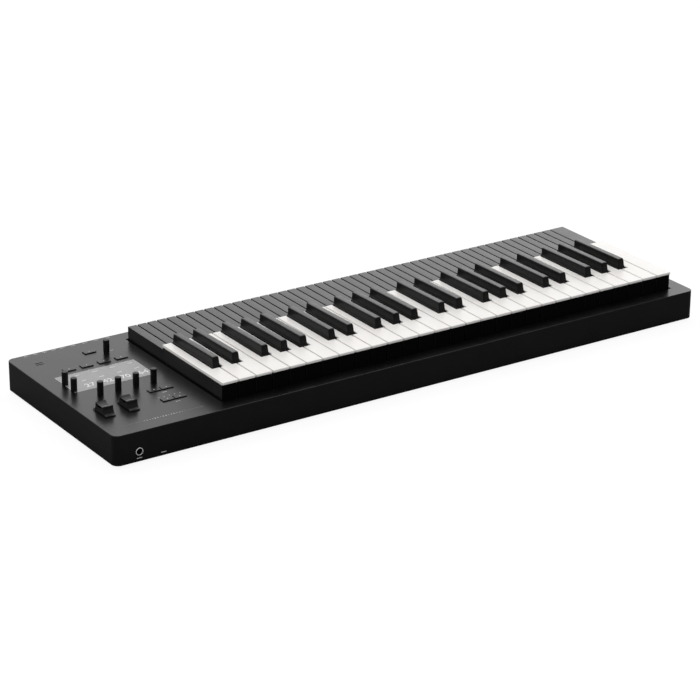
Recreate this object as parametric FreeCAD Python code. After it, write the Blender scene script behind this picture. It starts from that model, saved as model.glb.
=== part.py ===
import FreeCAD, Part
import os

# A 49-key synthesizer on a desk. X runs along the keyboard, -Y faces the player, +Z is up.
# The origin is the middle of its footprint, on the surface that it stands on. Sizes are in mm.

# ---- case ----
BODY_WIDTH = 860.0
BODY_DEPTH = 273.0
BODY_HEIGHT = 37.6
CORNER_RADIUS = 9.0
EDGE_ROUND = 0.8
WALL = 2.5
PANEL_THICKNESS = 2.5
BOTTOM_THICKNESS = 2.0
PLATE_CLEARANCE = 0.3
FOOT_HEIGHT = 4.0
FOOT_RADIUS = 9.0
FOOT_INSET = 32.0

# ---- keyboard ----
OCTAVE_NAMES = ["c", "c_sharp", "d", "d_sharp", "e", "f", "f_sharp", "g", "g_sharp", "a", "a_sharp", "b"]
BLACK_STEPS = [1, 3, 6, 8, 10]
STEPS = 12
WHITES_PER_OCTAVE = 7
KEY_COUNT = 49
WHITE_PITCH = 23.5
TAIL_PITCH = 13.7
KEY_GAP = 1.6
KEYBED_LEFT = -273.8
KEY_FRONT = -114.3
KEY_REAR = 114.0
CAP_LENGTH = 141.3
CAP_THICKNESS = 3.5
CAP_LIP = 1.5
KEY_HEIGHT_ABOVE_PANEL = 23.0
TAIL_DROP = 6.0
LEVER_DEPTH = 25.6
LEVER_WALL = 2.0
BLACK_FRONT = -68.6
BLACK_FRONT_HEIGHT = 12.0
BLACK_REAR_HEIGHT = 8.0
BLACK_TOP_WIDTH = 5.6
BLACK_FRONT_SLOPE = 5.0
NOTCH_CLEARANCE = 1.8
STEP_CLEARANCE = 2.0
KEY_OPENING_GAP = 2.5
KEY_TRAVEL = 14.0

# ---- key hinges ----
HINGE_FROM_REAR = 13.0
HINGE_BELOW_TAIL = 14.6
PIN_RADIUS = 2.0
RUNNING_CLEARANCE = 0.05
TONGUE_WIDTH = 5.0
TONGUE_LENGTH = 8.0
SIDE_CLEARANCE = 0.3
SLOT_END_CLEARANCE = 4.0
HINGE_BLOCK_WIDTH = 11.4
HINGE_BLOCK_LENGTH = 18.0
HINGE_BLOCK_HEIGHT = 6.0
HINGE_BLOCK_BOTTOM = 14.5
ROD_RADIUS = 1.5
ROD_SPACING = 12.0
RAIL_CLEARANCE = 0.4
END_BLOCK_WIDTH = 6.0
END_CLEARANCE = 1.8
SIDE_PLAY = 1.2
LEAF_THICKNESS = 0.6
LEAF_WIDTH = 4.0
LEAF_REACH = 2.0
LEAF_CLEARANCE = 0.9

# ---- key chassis ----
CHASSIS_SHEET = 1.5
CHASSIS_FRONT = -72.0
STOP_FELT_THICKNESS = 3.0
STOP_FELT_FRONT = -60.0
STOP_FELT_REAR = -48.0
REST_FELT_THICKNESS = 2.5
REST_FELT_LENGTH = 4.0
FELT_CLEARANCE = 0.3
SENSOR_BOARD_FRONT = 20.0
SENSOR_BOARD_REAR = 56.0
BOARD_THICKNESS = 1.6
BOARD_STANDOFF = 3.0
SENSOR_SIZE = 5.0
SENSOR_HEIGHT = 1.5

# ---- control panel, measured from the left and the front of the case ----
KNOB_RADIUS = 3.9
KNOB_HEIGHT = 17.0
KNOB_GAP = 0.5
KNOB_CHAMFER = 0.4
KNOB_BORE_DEPTH = 11.0
SHAFT_RADIUS = 3.0
SHAFT_HOLE_CLEARANCE = 0.4
ENCODER_SIZE = 12.0
ENCODER_HEIGHT = 6.0
ENCODER_FLOOR = 1.0
KNOB_ROW_COUNT = 4
KNOB_ROW_START = 46.0
KNOB_ROW_PITCH = 24.0
KNOB_ROW_FROM_FRONT = 117.5
SIDE_KNOB_FROM_LEFT = 24.7
SIDE_KNOBS_FROM_FRONT = [143.5, 166.0]
VOLUME_KNOB_PLACE = [114.0, 227.5]
BUTTON_WIDTH = 15.4
BUTTON_LENGTH = 8.6
BUTTON_RISE = 1.2
BUTTON_CLEARANCE = 0.3
BUTTON_FLANGE = 1.5
BUTTON_FLANGE_THICKNESS = 1.0
BUTTON_FLANGE_GAP = 0.4
BUTTON_TRAVEL = 0.6
PAGE_BUTTON_COUNT = 4
PAGE_BUTTON_START = 49.7
PAGE_BUTTON_PITCH = 23.7
PAGE_BUTTON_FROM_FRONT = 203.3
HOME_BUTTON_PLACE = [96.5, 239.5]
PAIR_FROM_LEFT = [105.0, 121.5]
OCTAVE_PAIR_FROM_FRONT = 93.7
EDIT_PAIR_FROM_FRONT = 61.9
SWITCH_SIZE = 6.0
SWITCH_HEIGHT = 3.0
PLUNGER_RADIUS = 1.6
SLIDER_FROM_LEFT = [25.0, 57.0]
SLIDER_FROM_FRONT = 69.0
SLIDER_WIDTH = 13.6
SLIDER_TOP_LENGTH = 19.0
SLIDER_FOOT_LENGTH = 32.6
SLIDER_FOOT_THICKNESS = 1.0
SLIDER_HEIGHT = 11.0
SLIDER_DISH = 3.0
SLIDER_GAP = 0.5
SLIDER_TRAVEL = 9.0
SLIDER_STEM_WIDTH = 2.4
SLIDER_STEM_LENGTH = 5.0
SLIDER_SLOT_CLEARANCE = 0.4
SLIDER_TRACK_WIDTH = 12.0
SLIDER_TRACK_END = 5.0
WINDOW_LEFT = 23.0
WINDOW_FRONT = 138.0
WINDOW_WIDTH = 108.0
WINDOW_DEPTH = 52.5
WINDOW_THICKNESS = 1.2
WINDOW_CLEARANCE = 0.15
SCREEN_LEFT = 34.0
SCREEN_RIGHT = 128.0
SCREEN_EDGE = 4.0
SCREEN_RIM = 2.0
CONTROL_BOARD_LEFT = 9.0
CONTROL_BOARD_RIGHT = 143.0
CONTROL_BOARD_FRONT = 38.0
CONTROL_BOARD_REAR = 252.0
POST_RADIUS = 3.5

# ---- sockets ----
MAIN_BOARD_LEFT = 9.0
MAIN_BOARD_RIGHT = 145.0
MAIN_BOARD_FRONT = 70.0
SOCKET_SIZE = 14.0
SOCKET_DEPTH = 24.0
SOCKET_BORE_RADIUS = 3.3
SOCKET_BORE_DEPTH = 18.0
SOCKET_NECK_RADIUS = 5.0
SOCKET_HOLE_CLEARANCE = 0.3
SMALL_SOCKET_SIZE = 9.0
SMALL_BORE_RADIUS = 1.85
SMALL_NECK_RADIUS = 3.5
LARGE_SOCKETS_FROM_LEFT = [90.0, 106.0, 122.0, 138.0]
SMALL_SOCKETS_FROM_LEFT = [63.0, 75.0]
USB_FROM_LEFT = 50.5
USB_WIDTH = 12.0
USB_HEIGHT = 11.0
USB_WALL = 1.0
POWER_BUTTON_FROM_LEFT = 38.0
POWER_BUTTON_SIZE = 8.0
POWER_BUTTON_TRAVEL = 1.5
POWER_BUTTON_RECESS = 0.2
POWER_COLLAR = 1.0
POWER_SWITCH_DEPTH = 10.0
POWER_INLET_FROM_LEFT = 25.5
POWER_INLET_RADIUS = 3.2
POWER_PIN_RADIUS = 1.0
HEADPHONE_FROM_LEFT = 32.0
HEADPHONE_ABOVE_BOTTOM = 12.4

# ---- screws ----
SCREW_RADIUS = 1.5
SCREW_HEAD_RADIUS = 2.8
SCREW_HEAD_HEIGHT = 1.6
SCREW_LENGTH = 12.0
SHORT_SCREW_LENGTH = 4.5
CASE_POST_INSET = 14.0
CASE_POST_COLUMNS = 4

# ---- heights and lines that follow ----
CASE_BOTTOM = FOOT_HEIGHT
CASE_TOP = FOOT_HEIGHT + BODY_HEIGHT
PANEL_UNDERSIDE = CASE_TOP - PANEL_THICKNESS
INNER_FLOOR = CASE_BOTTOM + BOTTOM_THICKNESS
CHASSIS_FLOOR = INNER_FLOOR + CHASSIS_SHEET
KEY_TOP = CASE_TOP + KEY_HEIGHT_ABOVE_PANEL
CAP_UNDERSIDE = KEY_TOP - CAP_THICKNESS
TAIL_TOP = KEY_TOP - TAIL_DROP
LEVER_UNDERSIDE = TAIL_TOP - LEVER_DEPTH
CAP_REAR = KEY_FRONT + CAP_LENGTH
LEVER_FRONT = KEY_FRONT + CAP_LIP
NOTCH_FRONT = BLACK_FRONT - NOTCH_CLEARANCE
WHITE_COUNT = KEY_COUNT // STEPS * WHITES_PER_OCTAVE + 1
KEYBED_WIDTH = WHITE_COUNT * WHITE_PITCH
KEYBED_RIGHT = KEYBED_LEFT + KEYBED_WIDTH
HINGE_Y = KEY_REAR - HINGE_FROM_REAR
HINGE_Z = TAIL_TOP - HINGE_BELOW_TAIL
HINGE_BLOCK_TOP = HINGE_BLOCK_BOTTOM + HINGE_BLOCK_HEIGHT
ROD_Z = HINGE_BLOCK_BOTTOM + HINGE_BLOCK_HEIGHT / 2
LEFT = -BODY_WIDTH / 2
FRONT = -BODY_DEPTH / 2
REAR = BODY_DEPTH / 2
CONTROL_BOARD_TOP = PANEL_UNDERSIDE - ENCODER_HEIGHT
CONTROL_BOARD_BOTTOM = CONTROL_BOARD_TOP - BOARD_THICKNESS
MAIN_BOARD_BOTTOM = INNER_FLOOR + BOARD_STANDOFF
MAIN_BOARD_TOP = MAIN_BOARD_BOTTOM + BOARD_THICKNESS
SOCKET_Z = MAIN_BOARD_TOP + SOCKET_SIZE / 2


def block(x0, x1, y0, y1, z0, z1):
    corner = FreeCAD.Vector(x0, y0, z0)
    return Part.makeBox(x1 - x0, y1 - y0, z1 - z0, corner)


def rod(x, y, z0, z1, radius):
    return Part.makeCylinder(radius, z1 - z0, FreeCAD.Vector(x, y, z0))


def rod_along_x(x0, x1, y, z, radius):
    return Part.makeCylinder(radius, x1 - x0, FreeCAD.Vector(x0, y, z), FreeCAD.Vector(1, 0, 0))


def rod_along_y(x, y0, y1, z, radius):
    return Part.makeCylinder(radius, y1 - y0, FreeCAD.Vector(x, y0, z), FreeCAD.Vector(0, 1, 0))


def extrude_along_x(outline, x0, x1):
    points = [FreeCAD.Vector(x0, y, z) for y, z in outline]
    wire = Part.makePolygon(points + points[:1])
    return Part.Face(wire).extrude(FreeCAD.Vector(x1 - x0, 0, 0))


def extrude_up(outline, z0, z1):
    points = [FreeCAD.Vector(x, y, z0) for x, y in outline]
    wire = Part.makePolygon(points + points[:1])
    return Part.Face(wire).extrude(FreeCAD.Vector(0, 0, z1 - z0))


def rounded_block(width, depth, z0, z1, radius):
    body = block(-width / 2, width / 2, -depth / 2, depth / 2, z0, z1)
    upright = [edge for edge in body.Edges if abs(edge.BoundBox.ZLength - (z1 - z0)) < 0.001]
    return body.makeFillet(radius, upright)


def save(name, solids):
    shape = solids[0] if len(solids) == 1 else Part.makeCompound(solids)
    shape.exportStep("parts/" + name + ".step")


def from_corner(place):
    return LEFT + place[0], FRONT + place[1]


# ---- places that several pieces share ----
def case_posts():
    inset_x = BODY_WIDTH / 2 - CASE_POST_INSET
    inset_y = BODY_DEPTH / 2 - CASE_POST_INSET
    pitch = 2 * inset_x / (CASE_POST_COLUMNS - 1)
    columns = [-inset_x + pitch * column for column in range(CASE_POST_COLUMNS)]
    return [(x, y) for x in columns for y in (-inset_y, inset_y)]


def board_posts():
    inset = POST_RADIUS
    x0 = LEFT + CONTROL_BOARD_LEFT + inset
    x1 = LEFT + CONTROL_BOARD_RIGHT - inset
    y0 = FRONT + CONTROL_BOARD_FRONT + inset
    y1 = FRONT + CONTROL_BOARD_REAR - inset
    return [(x, y) for x in (x0, x1) for y in (y0, y1)]


def knob_places():
    places = {}
    for number in range(KNOB_ROW_COUNT):
        x = KNOB_ROW_START + KNOB_ROW_PITCH * number
        places["sound_knob_%d" % (number + 1)] = from_corner([x, KNOB_ROW_FROM_FRONT])
    places["page_knob"] = from_corner([SIDE_KNOB_FROM_LEFT, SIDE_KNOBS_FROM_FRONT[0]])
    places["preset_knob"] = from_corner([SIDE_KNOB_FROM_LEFT, SIDE_KNOBS_FROM_FRONT[1]])
    places["volume_knob"] = from_corner(VOLUME_KNOB_PLACE)
    return places


def single_button_places():
    places = {}
    for number in range(PAGE_BUTTON_COUNT):
        x = PAGE_BUTTON_START + PAGE_BUTTON_PITCH * number
        places["page_button_%d" % (number + 1)] = from_corner([x, PAGE_BUTTON_FROM_FRONT])
    places["home_button"] = from_corner(HOME_BUTTON_PLACE)
    return places


def paired_button_places():
    left, right = PAIR_FROM_LEFT
    return {
        "octave_down_button": from_corner([left, OCTAVE_PAIR_FROM_FRONT]),
        "octave_up_button": from_corner([right, OCTAVE_PAIR_FROM_FRONT]),
        "edit_left_button": from_corner([left, EDIT_PAIR_FROM_FRONT]),
        "edit_right_button": from_corner([right, EDIT_PAIR_FROM_FRONT]),
    }


def slider_places():
    bend, modulation = SLIDER_FROM_LEFT
    return {
        "bend_slider": from_corner([bend, SLIDER_FROM_FRONT]),
        "modulation_slider": from_corner([modulation, SLIDER_FROM_FRONT]),
    }


def screen_box(edge):
    x0 = LEFT + SCREEN_LEFT - edge
    x1 = LEFT + SCREEN_RIGHT + edge
    y0 = FRONT + WINDOW_FRONT + SCREEN_EDGE - edge
    y1 = FRONT + WINDOW_FRONT + WINDOW_DEPTH - SCREEN_EDGE + edge
    return x0, x1, y0, y1


# ---- keys ----
def is_black(step):
    return step % STEPS in BLACK_STEPS


def tail_span(index):
    left = KEYBED_LEFT + index * TAIL_PITCH
    right = left + TAIL_PITCH
    if index == KEY_COUNT - 1:
        right = KEYBED_RIGHT
    return left + KEY_GAP / 2, right - KEY_GAP / 2


def white_number(index):
    return sum(1 for step in range(index) if not is_black(step))


def front_span(index):
    left = KEYBED_LEFT + white_number(index) * WHITE_PITCH
    return left + KEY_GAP / 2, left + WHITE_PITCH - KEY_GAP / 2


def neck_span(index):
    left, right = tail_span(index)
    front_left, front_right = front_span(index)
    if not is_black(index - 1):
        left = front_left
    if index == KEY_COUNT - 1 or not is_black(index + 1):
        right = front_right
    return left, right


def white_outline(index, front, rear):
    front_left, front_right = front_span(index)
    left, right = neck_span(index)
    points = [(front_left, front), (front_right, front), (front_right, NOTCH_FRONT)]
    if right != front_right:
        points.append((right, NOTCH_FRONT))
    points.append((right, rear))
    points.append((left, rear))
    if left != front_left:
        points.append((left, NOTCH_FRONT))
    points.append((front_left, NOTCH_FRONT))
    return points


def hinge_x(index):
    left, right = tail_span(index)
    return (left + right) / 2


def cut_hinge_slot(lever, index):
    left, right = tail_span(index)
    middle = hinge_x(index)
    half_width = TONGUE_WIDTH / 2 + SIDE_CLEARANCE
    half_length = TONGUE_LENGTH / 2 + SLOT_END_CLEARANCE
    top = HINGE_Z + TONGUE_LENGTH / 2 + SLOT_END_CLEARANCE
    slot = block(middle - half_width, middle + half_width, HINGE_Y - half_length,
                 HINGE_Y + half_length, LEVER_UNDERSIDE, top)
    bore = rod_along_x(left, right, HINGE_Y, HINGE_Z, PIN_RADIUS + RUNNING_CLEARANCE)
    return lever.cut(slot).cut(bore)


def lever_pocket(index, front, top):
    left, right = tail_span(index)
    rear = HINGE_Y - TONGUE_LENGTH / 2 - SLOT_END_CLEARANCE - 2 * LEVER_WALL
    return block(left + LEVER_WALL, right - LEVER_WALL, front + LEVER_WALL, rear, LEVER_UNDERSIDE, top)


def white_key(index):
    tail_left, tail_right = tail_span(index)
    neck_left, neck_right = neck_span(index)
    front_part = extrude_up(white_outline(index, LEVER_FRONT, CAP_REAR), LEVER_UNDERSIDE, CAP_UNDERSIDE)
    shared_left = max(tail_left, neck_left)
    shared_right = min(tail_right, neck_right)
    joint_part = block(shared_left, shared_right, CAP_REAR - LEVER_WALL, CAP_REAR + STEP_CLEARANCE,
                       LEVER_UNDERSIDE, TAIL_TOP)
    tail = block(tail_left, tail_right, CAP_REAR + STEP_CLEARANCE, KEY_REAR, LEVER_UNDERSIDE, TAIL_TOP)
    lever = front_part.fuse([joint_part, tail]).removeSplitter()
    pocket = lever_pocket(index, LEVER_FRONT, TAIL_TOP - LEVER_WALL)
    lever = cut_hinge_slot(lever.cut(pocket), index)
    cap = extrude_up(white_outline(index, KEY_FRONT, CAP_REAR), CAP_UNDERSIDE, KEY_TOP)
    return [lever, cap]


def black_cap(index):
    left, right = tail_span(index)
    middle = (left + right) / 2
    rear = CAP_REAR
    half = BLACK_TOP_WIDTH / 2
    skirt = block(left, right, BLACK_FRONT, rear, TAIL_TOP, KEY_TOP)
    base = [(left, BLACK_FRONT), (right, BLACK_FRONT), (right, rear), (left, rear)]
    base_points = [FreeCAD.Vector(x, y, KEY_TOP) for x, y in base]
    top_front = BLACK_FRONT + BLACK_FRONT_SLOPE
    front_z = KEY_TOP + BLACK_FRONT_HEIGHT
    rear_z = KEY_TOP + BLACK_REAR_HEIGHT
    top_points = [
        FreeCAD.Vector(middle - half, top_front, front_z),
        FreeCAD.Vector(middle + half, top_front, front_z),
        FreeCAD.Vector(middle + half, rear, rear_z),
        FreeCAD.Vector(middle - half, rear, rear_z),
    ]
    faces = [Part.Face(Part.makePolygon(base_points + base_points[:1]))]
    faces.append(Part.Face(Part.makePolygon(top_points + top_points[:1])))
    for a in range(4):
        b = (a + 1) % 4
        low_a, low_b, high_a, high_b = base_points[a], base_points[b], top_points[a], top_points[b]
        faces.append(Part.Face(Part.makePolygon([low_a, low_b, high_b, low_a])))
        faces.append(Part.Face(Part.makePolygon([low_a, high_b, high_a, low_a])))
    crown = Part.makeSolid(Part.makeShell(faces))
    if crown.Volume < 0:
        crown.reverse()
    return skirt.fuse(crown).removeSplitter()


def black_key(index):
    left, right = tail_span(index)
    lever = block(left, right, BLACK_FRONT, KEY_REAR, LEVER_UNDERSIDE, TAIL_TOP)
    pocket = lever_pocket(index, BLACK_FRONT, TAIL_TOP - LEVER_WALL)
    lever = cut_hinge_slot(lever.cut(pocket), index)
    return [lever, black_cap(index)]


def hinge_block(index):
    middle = hinge_x(index)
    half_width = HINGE_BLOCK_WIDTH / 2
    half_length = HINGE_BLOCK_LENGTH / 2
    base = block(middle - half_width, middle + half_width, HINGE_Y - half_length, HINGE_Y + half_length,
                 HINGE_BLOCK_BOTTOM, HINGE_BLOCK_TOP)
    half_tongue = TONGUE_WIDTH / 2
    reach = TONGUE_LENGTH / 2
    stalk = block(middle - half_tongue, middle + half_tongue, HINGE_Y - reach, HINGE_Y + reach,
                  HINGE_BLOCK_TOP, HINGE_Z)
    head = rod_along_x(middle - half_tongue, middle + half_tongue, HINGE_Y, HINGE_Z, reach)
    carrier = base.fuse([stalk, head]).removeSplitter()
    pin_hole = rod_along_x(middle - half_tongue, middle + half_tongue, HINGE_Y, HINGE_Z, PIN_RADIUS)
    carrier = carrier.cut(pin_hole)
    for side in (-ROD_SPACING / 2, ROD_SPACING / 2):
        bore = rod_along_x(middle - half_width, middle + half_width, HINGE_Y + side, ROD_Z,
                           ROD_RADIUS + RUNNING_CLEARANCE)
        carrier = carrier.cut(bore)
    pin_half = TAIL_PITCH / 2 - KEY_GAP / 2 - SIDE_CLEARANCE
    pin = rod_along_x(middle - pin_half, middle + pin_half, HINGE_Y, HINGE_Z, PIN_RADIUS)
    foot_rear = HINGE_Y - reach
    foot_front = HINGE_Y - half_length
    tip = foot_front - LEAF_REACH
    tip_z = LEVER_UNDERSIDE - LEAF_CLEARANCE
    outline = [
        (foot_rear, HINGE_BLOCK_TOP),
        (foot_rear, HINGE_BLOCK_TOP + LEAF_THICKNESS),
        (foot_front + LEAF_THICKNESS, HINGE_BLOCK_TOP + LEAF_THICKNESS),
        (tip + LEAF_THICKNESS, tip_z),
        (tip, tip_z),
        (foot_front, HINGE_BLOCK_TOP),
    ]
    leaf = extrude_along_x(outline, middle - LEAF_WIDTH / 2, middle + LEAF_WIDTH / 2)
    return [carrier, pin, leaf]


def make_keys():
    for step, name in enumerate(OCTAVE_NAMES):
        key_solids = []
        hinge_solids = []
        for index in range(step, KEY_COUNT, STEPS):
            key_solids += black_key(index) if is_black(index) else white_key(index)
            hinge_solids += hinge_block(index)
        save("keys_" + name, key_solids)
        save("key_hinges_" + name, hinge_solids)


# ---- what carries the keys ----
def chassis_span():
    margin = END_BLOCK_WIDTH + SIDE_PLAY + END_CLEARANCE
    return KEYBED_LEFT - margin, KEYBED_RIGHT + margin


def stop_felt_top():
    reach = HINGE_Y - STOP_FELT_FRONT
    drop = KEY_TRAVEL * reach / (HINGE_Y - KEY_FRONT)
    return LEVER_UNDERSIDE - drop - FELT_CLEARANCE


def make_chassis():
    x0, x1 = chassis_span()
    sheet = CHASSIS_SHEET
    rear_wall = KEY_REAR + sheet
    floor = block(x0, x1, CHASSIS_FRONT, rear_wall + sheet, INNER_FLOOR, CHASSIS_FLOOR)
    shelf_top = stop_felt_top() - STOP_FELT_THICKNESS
    shelf = block(x0, x1, STOP_FELT_FRONT - sheet, STOP_FELT_REAR + sheet, shelf_top - sheet, shelf_top)
    front_leg = block(x0, x1, STOP_FELT_FRONT - sheet, STOP_FELT_FRONT, CHASSIS_FLOOR, shelf_top)
    rear_leg = block(x0, x1, STOP_FELT_REAR, STOP_FELT_REAR + sheet, CHASSIS_FLOOR, shelf_top)
    flange_top = LEVER_UNDERSIDE - FELT_CLEARANCE - REST_FELT_THICKNESS
    back = block(x0, x1, rear_wall, rear_wall + sheet, CHASSIS_FLOOR, flange_top)
    flange = block(x0, x1, KEY_REAR - REST_FELT_LENGTH, rear_wall, flange_top - sheet, flange_top)
    chassis = floor.fuse([shelf, front_leg, rear_leg, back, flange]).removeSplitter()
    save("key_chassis", [chassis])

    stop = block(x0, x1, STOP_FELT_FRONT, STOP_FELT_REAR, shelf_top, stop_felt_top())
    rest = block(x0, x1, KEY_REAR - REST_FELT_LENGTH, KEY_REAR, flange_top, flange_top + REST_FELT_THICKNESS)
    save("key_felts", [stop, rest])

    rail_front = HINGE_Y - HINGE_BLOCK_LENGTH / 2
    rail_rear = HINGE_Y + HINGE_BLOCK_LENGTH / 2
    bar_top = HINGE_BLOCK_BOTTOM - RAIL_CLEARANCE
    bar = block(x0, x1, rail_front, rail_rear, CHASSIS_FLOOR, bar_top)
    left_end = block(x0, x0 + END_BLOCK_WIDTH, rail_front, rail_rear, bar_top, HINGE_BLOCK_TOP)
    right_end = block(x1 - END_BLOCK_WIDTH, x1, rail_front, rail_rear, bar_top, HINGE_BLOCK_TOP)
    rail = bar.fuse([left_end, right_end]).removeSplitter()
    rods = []
    for side in (-ROD_SPACING / 2, ROD_SPACING / 2):
        guide = rod_along_x(x0, x1, HINGE_Y + side, ROD_Z, ROD_RADIUS)
        rail = rail.cut(guide)
        rods.append(guide)
    save("key_rail", [rail] + rods)

    board_bottom = CHASSIS_FLOOR + BOARD_STANDOFF
    board_top = board_bottom + BOARD_THICKNESS
    board = block(x0, x1, SENSOR_BOARD_FRONT, SENSOR_BOARD_REAR, board_bottom, board_top)
    standoffs = []
    for column in range(CASE_POST_COLUMNS):
        x = x0 + POST_RADIUS + column * (x1 - x0 - 2 * POST_RADIUS) / (CASE_POST_COLUMNS - 1)
        for y in (SENSOR_BOARD_FRONT + POST_RADIUS, SENSOR_BOARD_REAR - POST_RADIUS):
            standoffs.append(rod(x, y, CHASSIS_FLOOR, board_bottom, POST_RADIUS))
    sensor_y = (SENSOR_BOARD_FRONT + SENSOR_BOARD_REAR) / 2
    half = SENSOR_SIZE / 2
    sensors = []
    for index in range(KEY_COUNT):
        x = hinge_x(index)
        sensors.append(block(x - half, x + half, sensor_y - half, sensor_y + half, board_top,
                             board_top + SENSOR_HEIGHT))
    save("key_sensor_board", [board] + standoffs + sensors)


# ---- case ----
def button_slot(x0, x1, y):
    gap = BUTTON_CLEARANCE
    half = BUTTON_LENGTH / 2 + gap
    return block(x0 - gap, x1 + gap, y - half, y + half, PANEL_UNDERSIDE, CASE_TOP)


def panel_cuts():
    half = BUTTON_WIDTH / 2
    cuts = []
    for x, y in knob_places().values():
        cuts.append(rod(x, y, PANEL_UNDERSIDE, CASE_TOP, SHAFT_RADIUS + SHAFT_HOLE_CLEARANCE))
    for x, y in single_button_places().values():
        cuts.append(button_slot(x - half, x + half, y))
    for from_front in (OCTAVE_PAIR_FROM_FRONT, EDIT_PAIR_FROM_FRONT):
        x0, y = from_corner([PAIR_FROM_LEFT[0], from_front])
        x1 = LEFT + PAIR_FROM_LEFT[1]
        cuts.append(button_slot(x0 - half, x1 + half, y))
    slot_half_width = SLIDER_STEM_WIDTH / 2 + SLIDER_SLOT_CLEARANCE
    slot_half_length = SLIDER_STEM_LENGTH / 2 + SLIDER_TRAVEL + SLIDER_SLOT_CLEARANCE
    for x, y in slider_places().values():
        cuts.append(block(x - slot_half_width, x + slot_half_width, y - slot_half_length,
                          y + slot_half_length, PANEL_UNDERSIDE, CASE_TOP))
    x0, y0 = from_corner([WINDOW_LEFT, WINDOW_FRONT])
    cuts.append(block(x0, x0 + WINDOW_WIDTH, y0, y0 + WINDOW_DEPTH, CASE_TOP - WINDOW_THICKNESS, CASE_TOP))
    screen = screen_box(0)
    cuts.append(block(*screen, PANEL_UNDERSIDE, CASE_TOP))
    tail_left = tail_span(0)[0] - KEY_OPENING_GAP
    tail_right = tail_span(KEY_COUNT - 1)[1] + KEY_OPENING_GAP
    cuts.append(block(tail_left, tail_right, LEVER_FRONT - KEY_OPENING_GAP, KEY_REAR + KEY_OPENING_GAP,
                      PANEL_UNDERSIDE, CASE_TOP))
    return cuts


def wall_cuts():
    inner_rear = REAR - WALL
    neck_hole = SOCKET_NECK_RADIUS + SOCKET_HOLE_CLEARANCE
    small_hole = SMALL_NECK_RADIUS + SOCKET_HOLE_CLEARANCE
    cuts = []
    for place in LARGE_SOCKETS_FROM_LEFT:
        cuts.append(rod_along_y(LEFT + place, inner_rear, REAR, SOCKET_Z, neck_hole))
    for place in SMALL_SOCKETS_FROM_LEFT:
        z = MAIN_BOARD_TOP + SMALL_SOCKET_SIZE / 2
        cuts.append(rod_along_y(LEFT + place, inner_rear, REAR, z, small_hole))
    x0, x1, z0, z1 = usb_box(SOCKET_HOLE_CLEARANCE)
    cuts.append(block(x0, x1, inner_rear, REAR, z0, z1))
    x0, x1, z0, z1 = power_button_box(SOCKET_HOLE_CLEARANCE)
    cuts.append(block(x0, x1, inner_rear, REAR, z0, z1))
    inlet_hole = POWER_INLET_RADIUS + WALL / 2 + SOCKET_HOLE_CLEARANCE
    cuts.append(rod_along_y(LEFT + POWER_INLET_FROM_LEFT, inner_rear, REAR, SOCKET_Z, inlet_hole))
    x, z = headphone_place()
    cuts.append(rod_along_y(x, FRONT, FRONT + WALL, z, neck_hole))
    return cuts


def make_case():
    outer = rounded_block(BODY_WIDTH, BODY_DEPTH, CASE_BOTTOM, CASE_TOP, CORNER_RADIUS)
    rim = [edge for edge in outer.Edges if edge.BoundBox.ZMin > CASE_TOP - 0.01]
    outer = outer.makeFillet(EDGE_ROUND, rim)
    inner = rounded_block(BODY_WIDTH - 2 * WALL, BODY_DEPTH - 2 * WALL, CASE_BOTTOM, PANEL_UNDERSIDE,
                          CORNER_RADIUS - WALL)
    shell = outer.cut(inner)
    posts = [rod(x, y, INNER_FLOOR, PANEL_UNDERSIDE, POST_RADIUS) for x, y in case_posts()]
    posts += [rod(x, y, CONTROL_BOARD_TOP, PANEL_UNDERSIDE, POST_RADIUS) for x, y in board_posts()]
    shell = shell.fuse(posts)
    pilots = []
    for x, y in case_posts():
        pilots.append(rod(x, y, INNER_FLOOR, CASE_BOTTOM + SCREW_LENGTH, SCREW_RADIUS))
    for x, y in board_posts():
        pilots.append(rod(x, y, CONTROL_BOARD_TOP, CONTROL_BOARD_BOTTOM + SHORT_SCREW_LENGTH, SCREW_RADIUS))
    shell = shell.cut(Part.makeCompound(panel_cuts()))
    shell = shell.cut(Part.makeCompound(wall_cuts()))
    shell = shell.cut(Part.makeCompound(pilots)).removeSplitter()
    save("top_case", [shell])

    inset = WALL + PLATE_CLEARANCE
    plate = rounded_block(BODY_WIDTH - 2 * inset, BODY_DEPTH - 2 * inset, CASE_BOTTOM, INNER_FLOOR,
                          CORNER_RADIUS - inset)
    holes = [rod(x, y, CASE_BOTTOM, INNER_FLOOR, SCREW_RADIUS) for x, y in case_posts()]
    save("bottom_plate", [plate.cut(Part.makeCompound(holes))])


def make_feet_and_screws():
    feet = []
    for x in (LEFT + FOOT_INSET, 0, -LEFT - FOOT_INSET):
        for y in (FRONT + FOOT_INSET, REAR - FOOT_INSET):
            foot = rod(x, y, 0, FOOT_HEIGHT, FOOT_RADIUS)
            base_edge = [edge for edge in foot.Edges if edge.BoundBox.ZMax < 0.01]
            feet.append(foot.makeChamfer(EDGE_ROUND, base_edge))
    save("rubber_feet", feet)

    screws = []
    for x, y in case_posts():
        head = rod(x, y, CASE_BOTTOM - SCREW_HEAD_HEIGHT, CASE_BOTTOM, SCREW_HEAD_RADIUS)
        shank = rod(x, y, CASE_BOTTOM, CASE_BOTTOM + SCREW_LENGTH, SCREW_RADIUS)
        screws.append(head.fuse(shank).removeSplitter())
    for x, y in board_posts():
        head = rod(x, y, CONTROL_BOARD_BOTTOM - SCREW_HEAD_HEIGHT, CONTROL_BOARD_BOTTOM, SCREW_HEAD_RADIUS)
        shank = rod(x, y, CONTROL_BOARD_BOTTOM, CONTROL_BOARD_BOTTOM + SHORT_SCREW_LENGTH, SCREW_RADIUS)
        screws.append(head.fuse(shank).removeSplitter())
    save("screws", screws)


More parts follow.
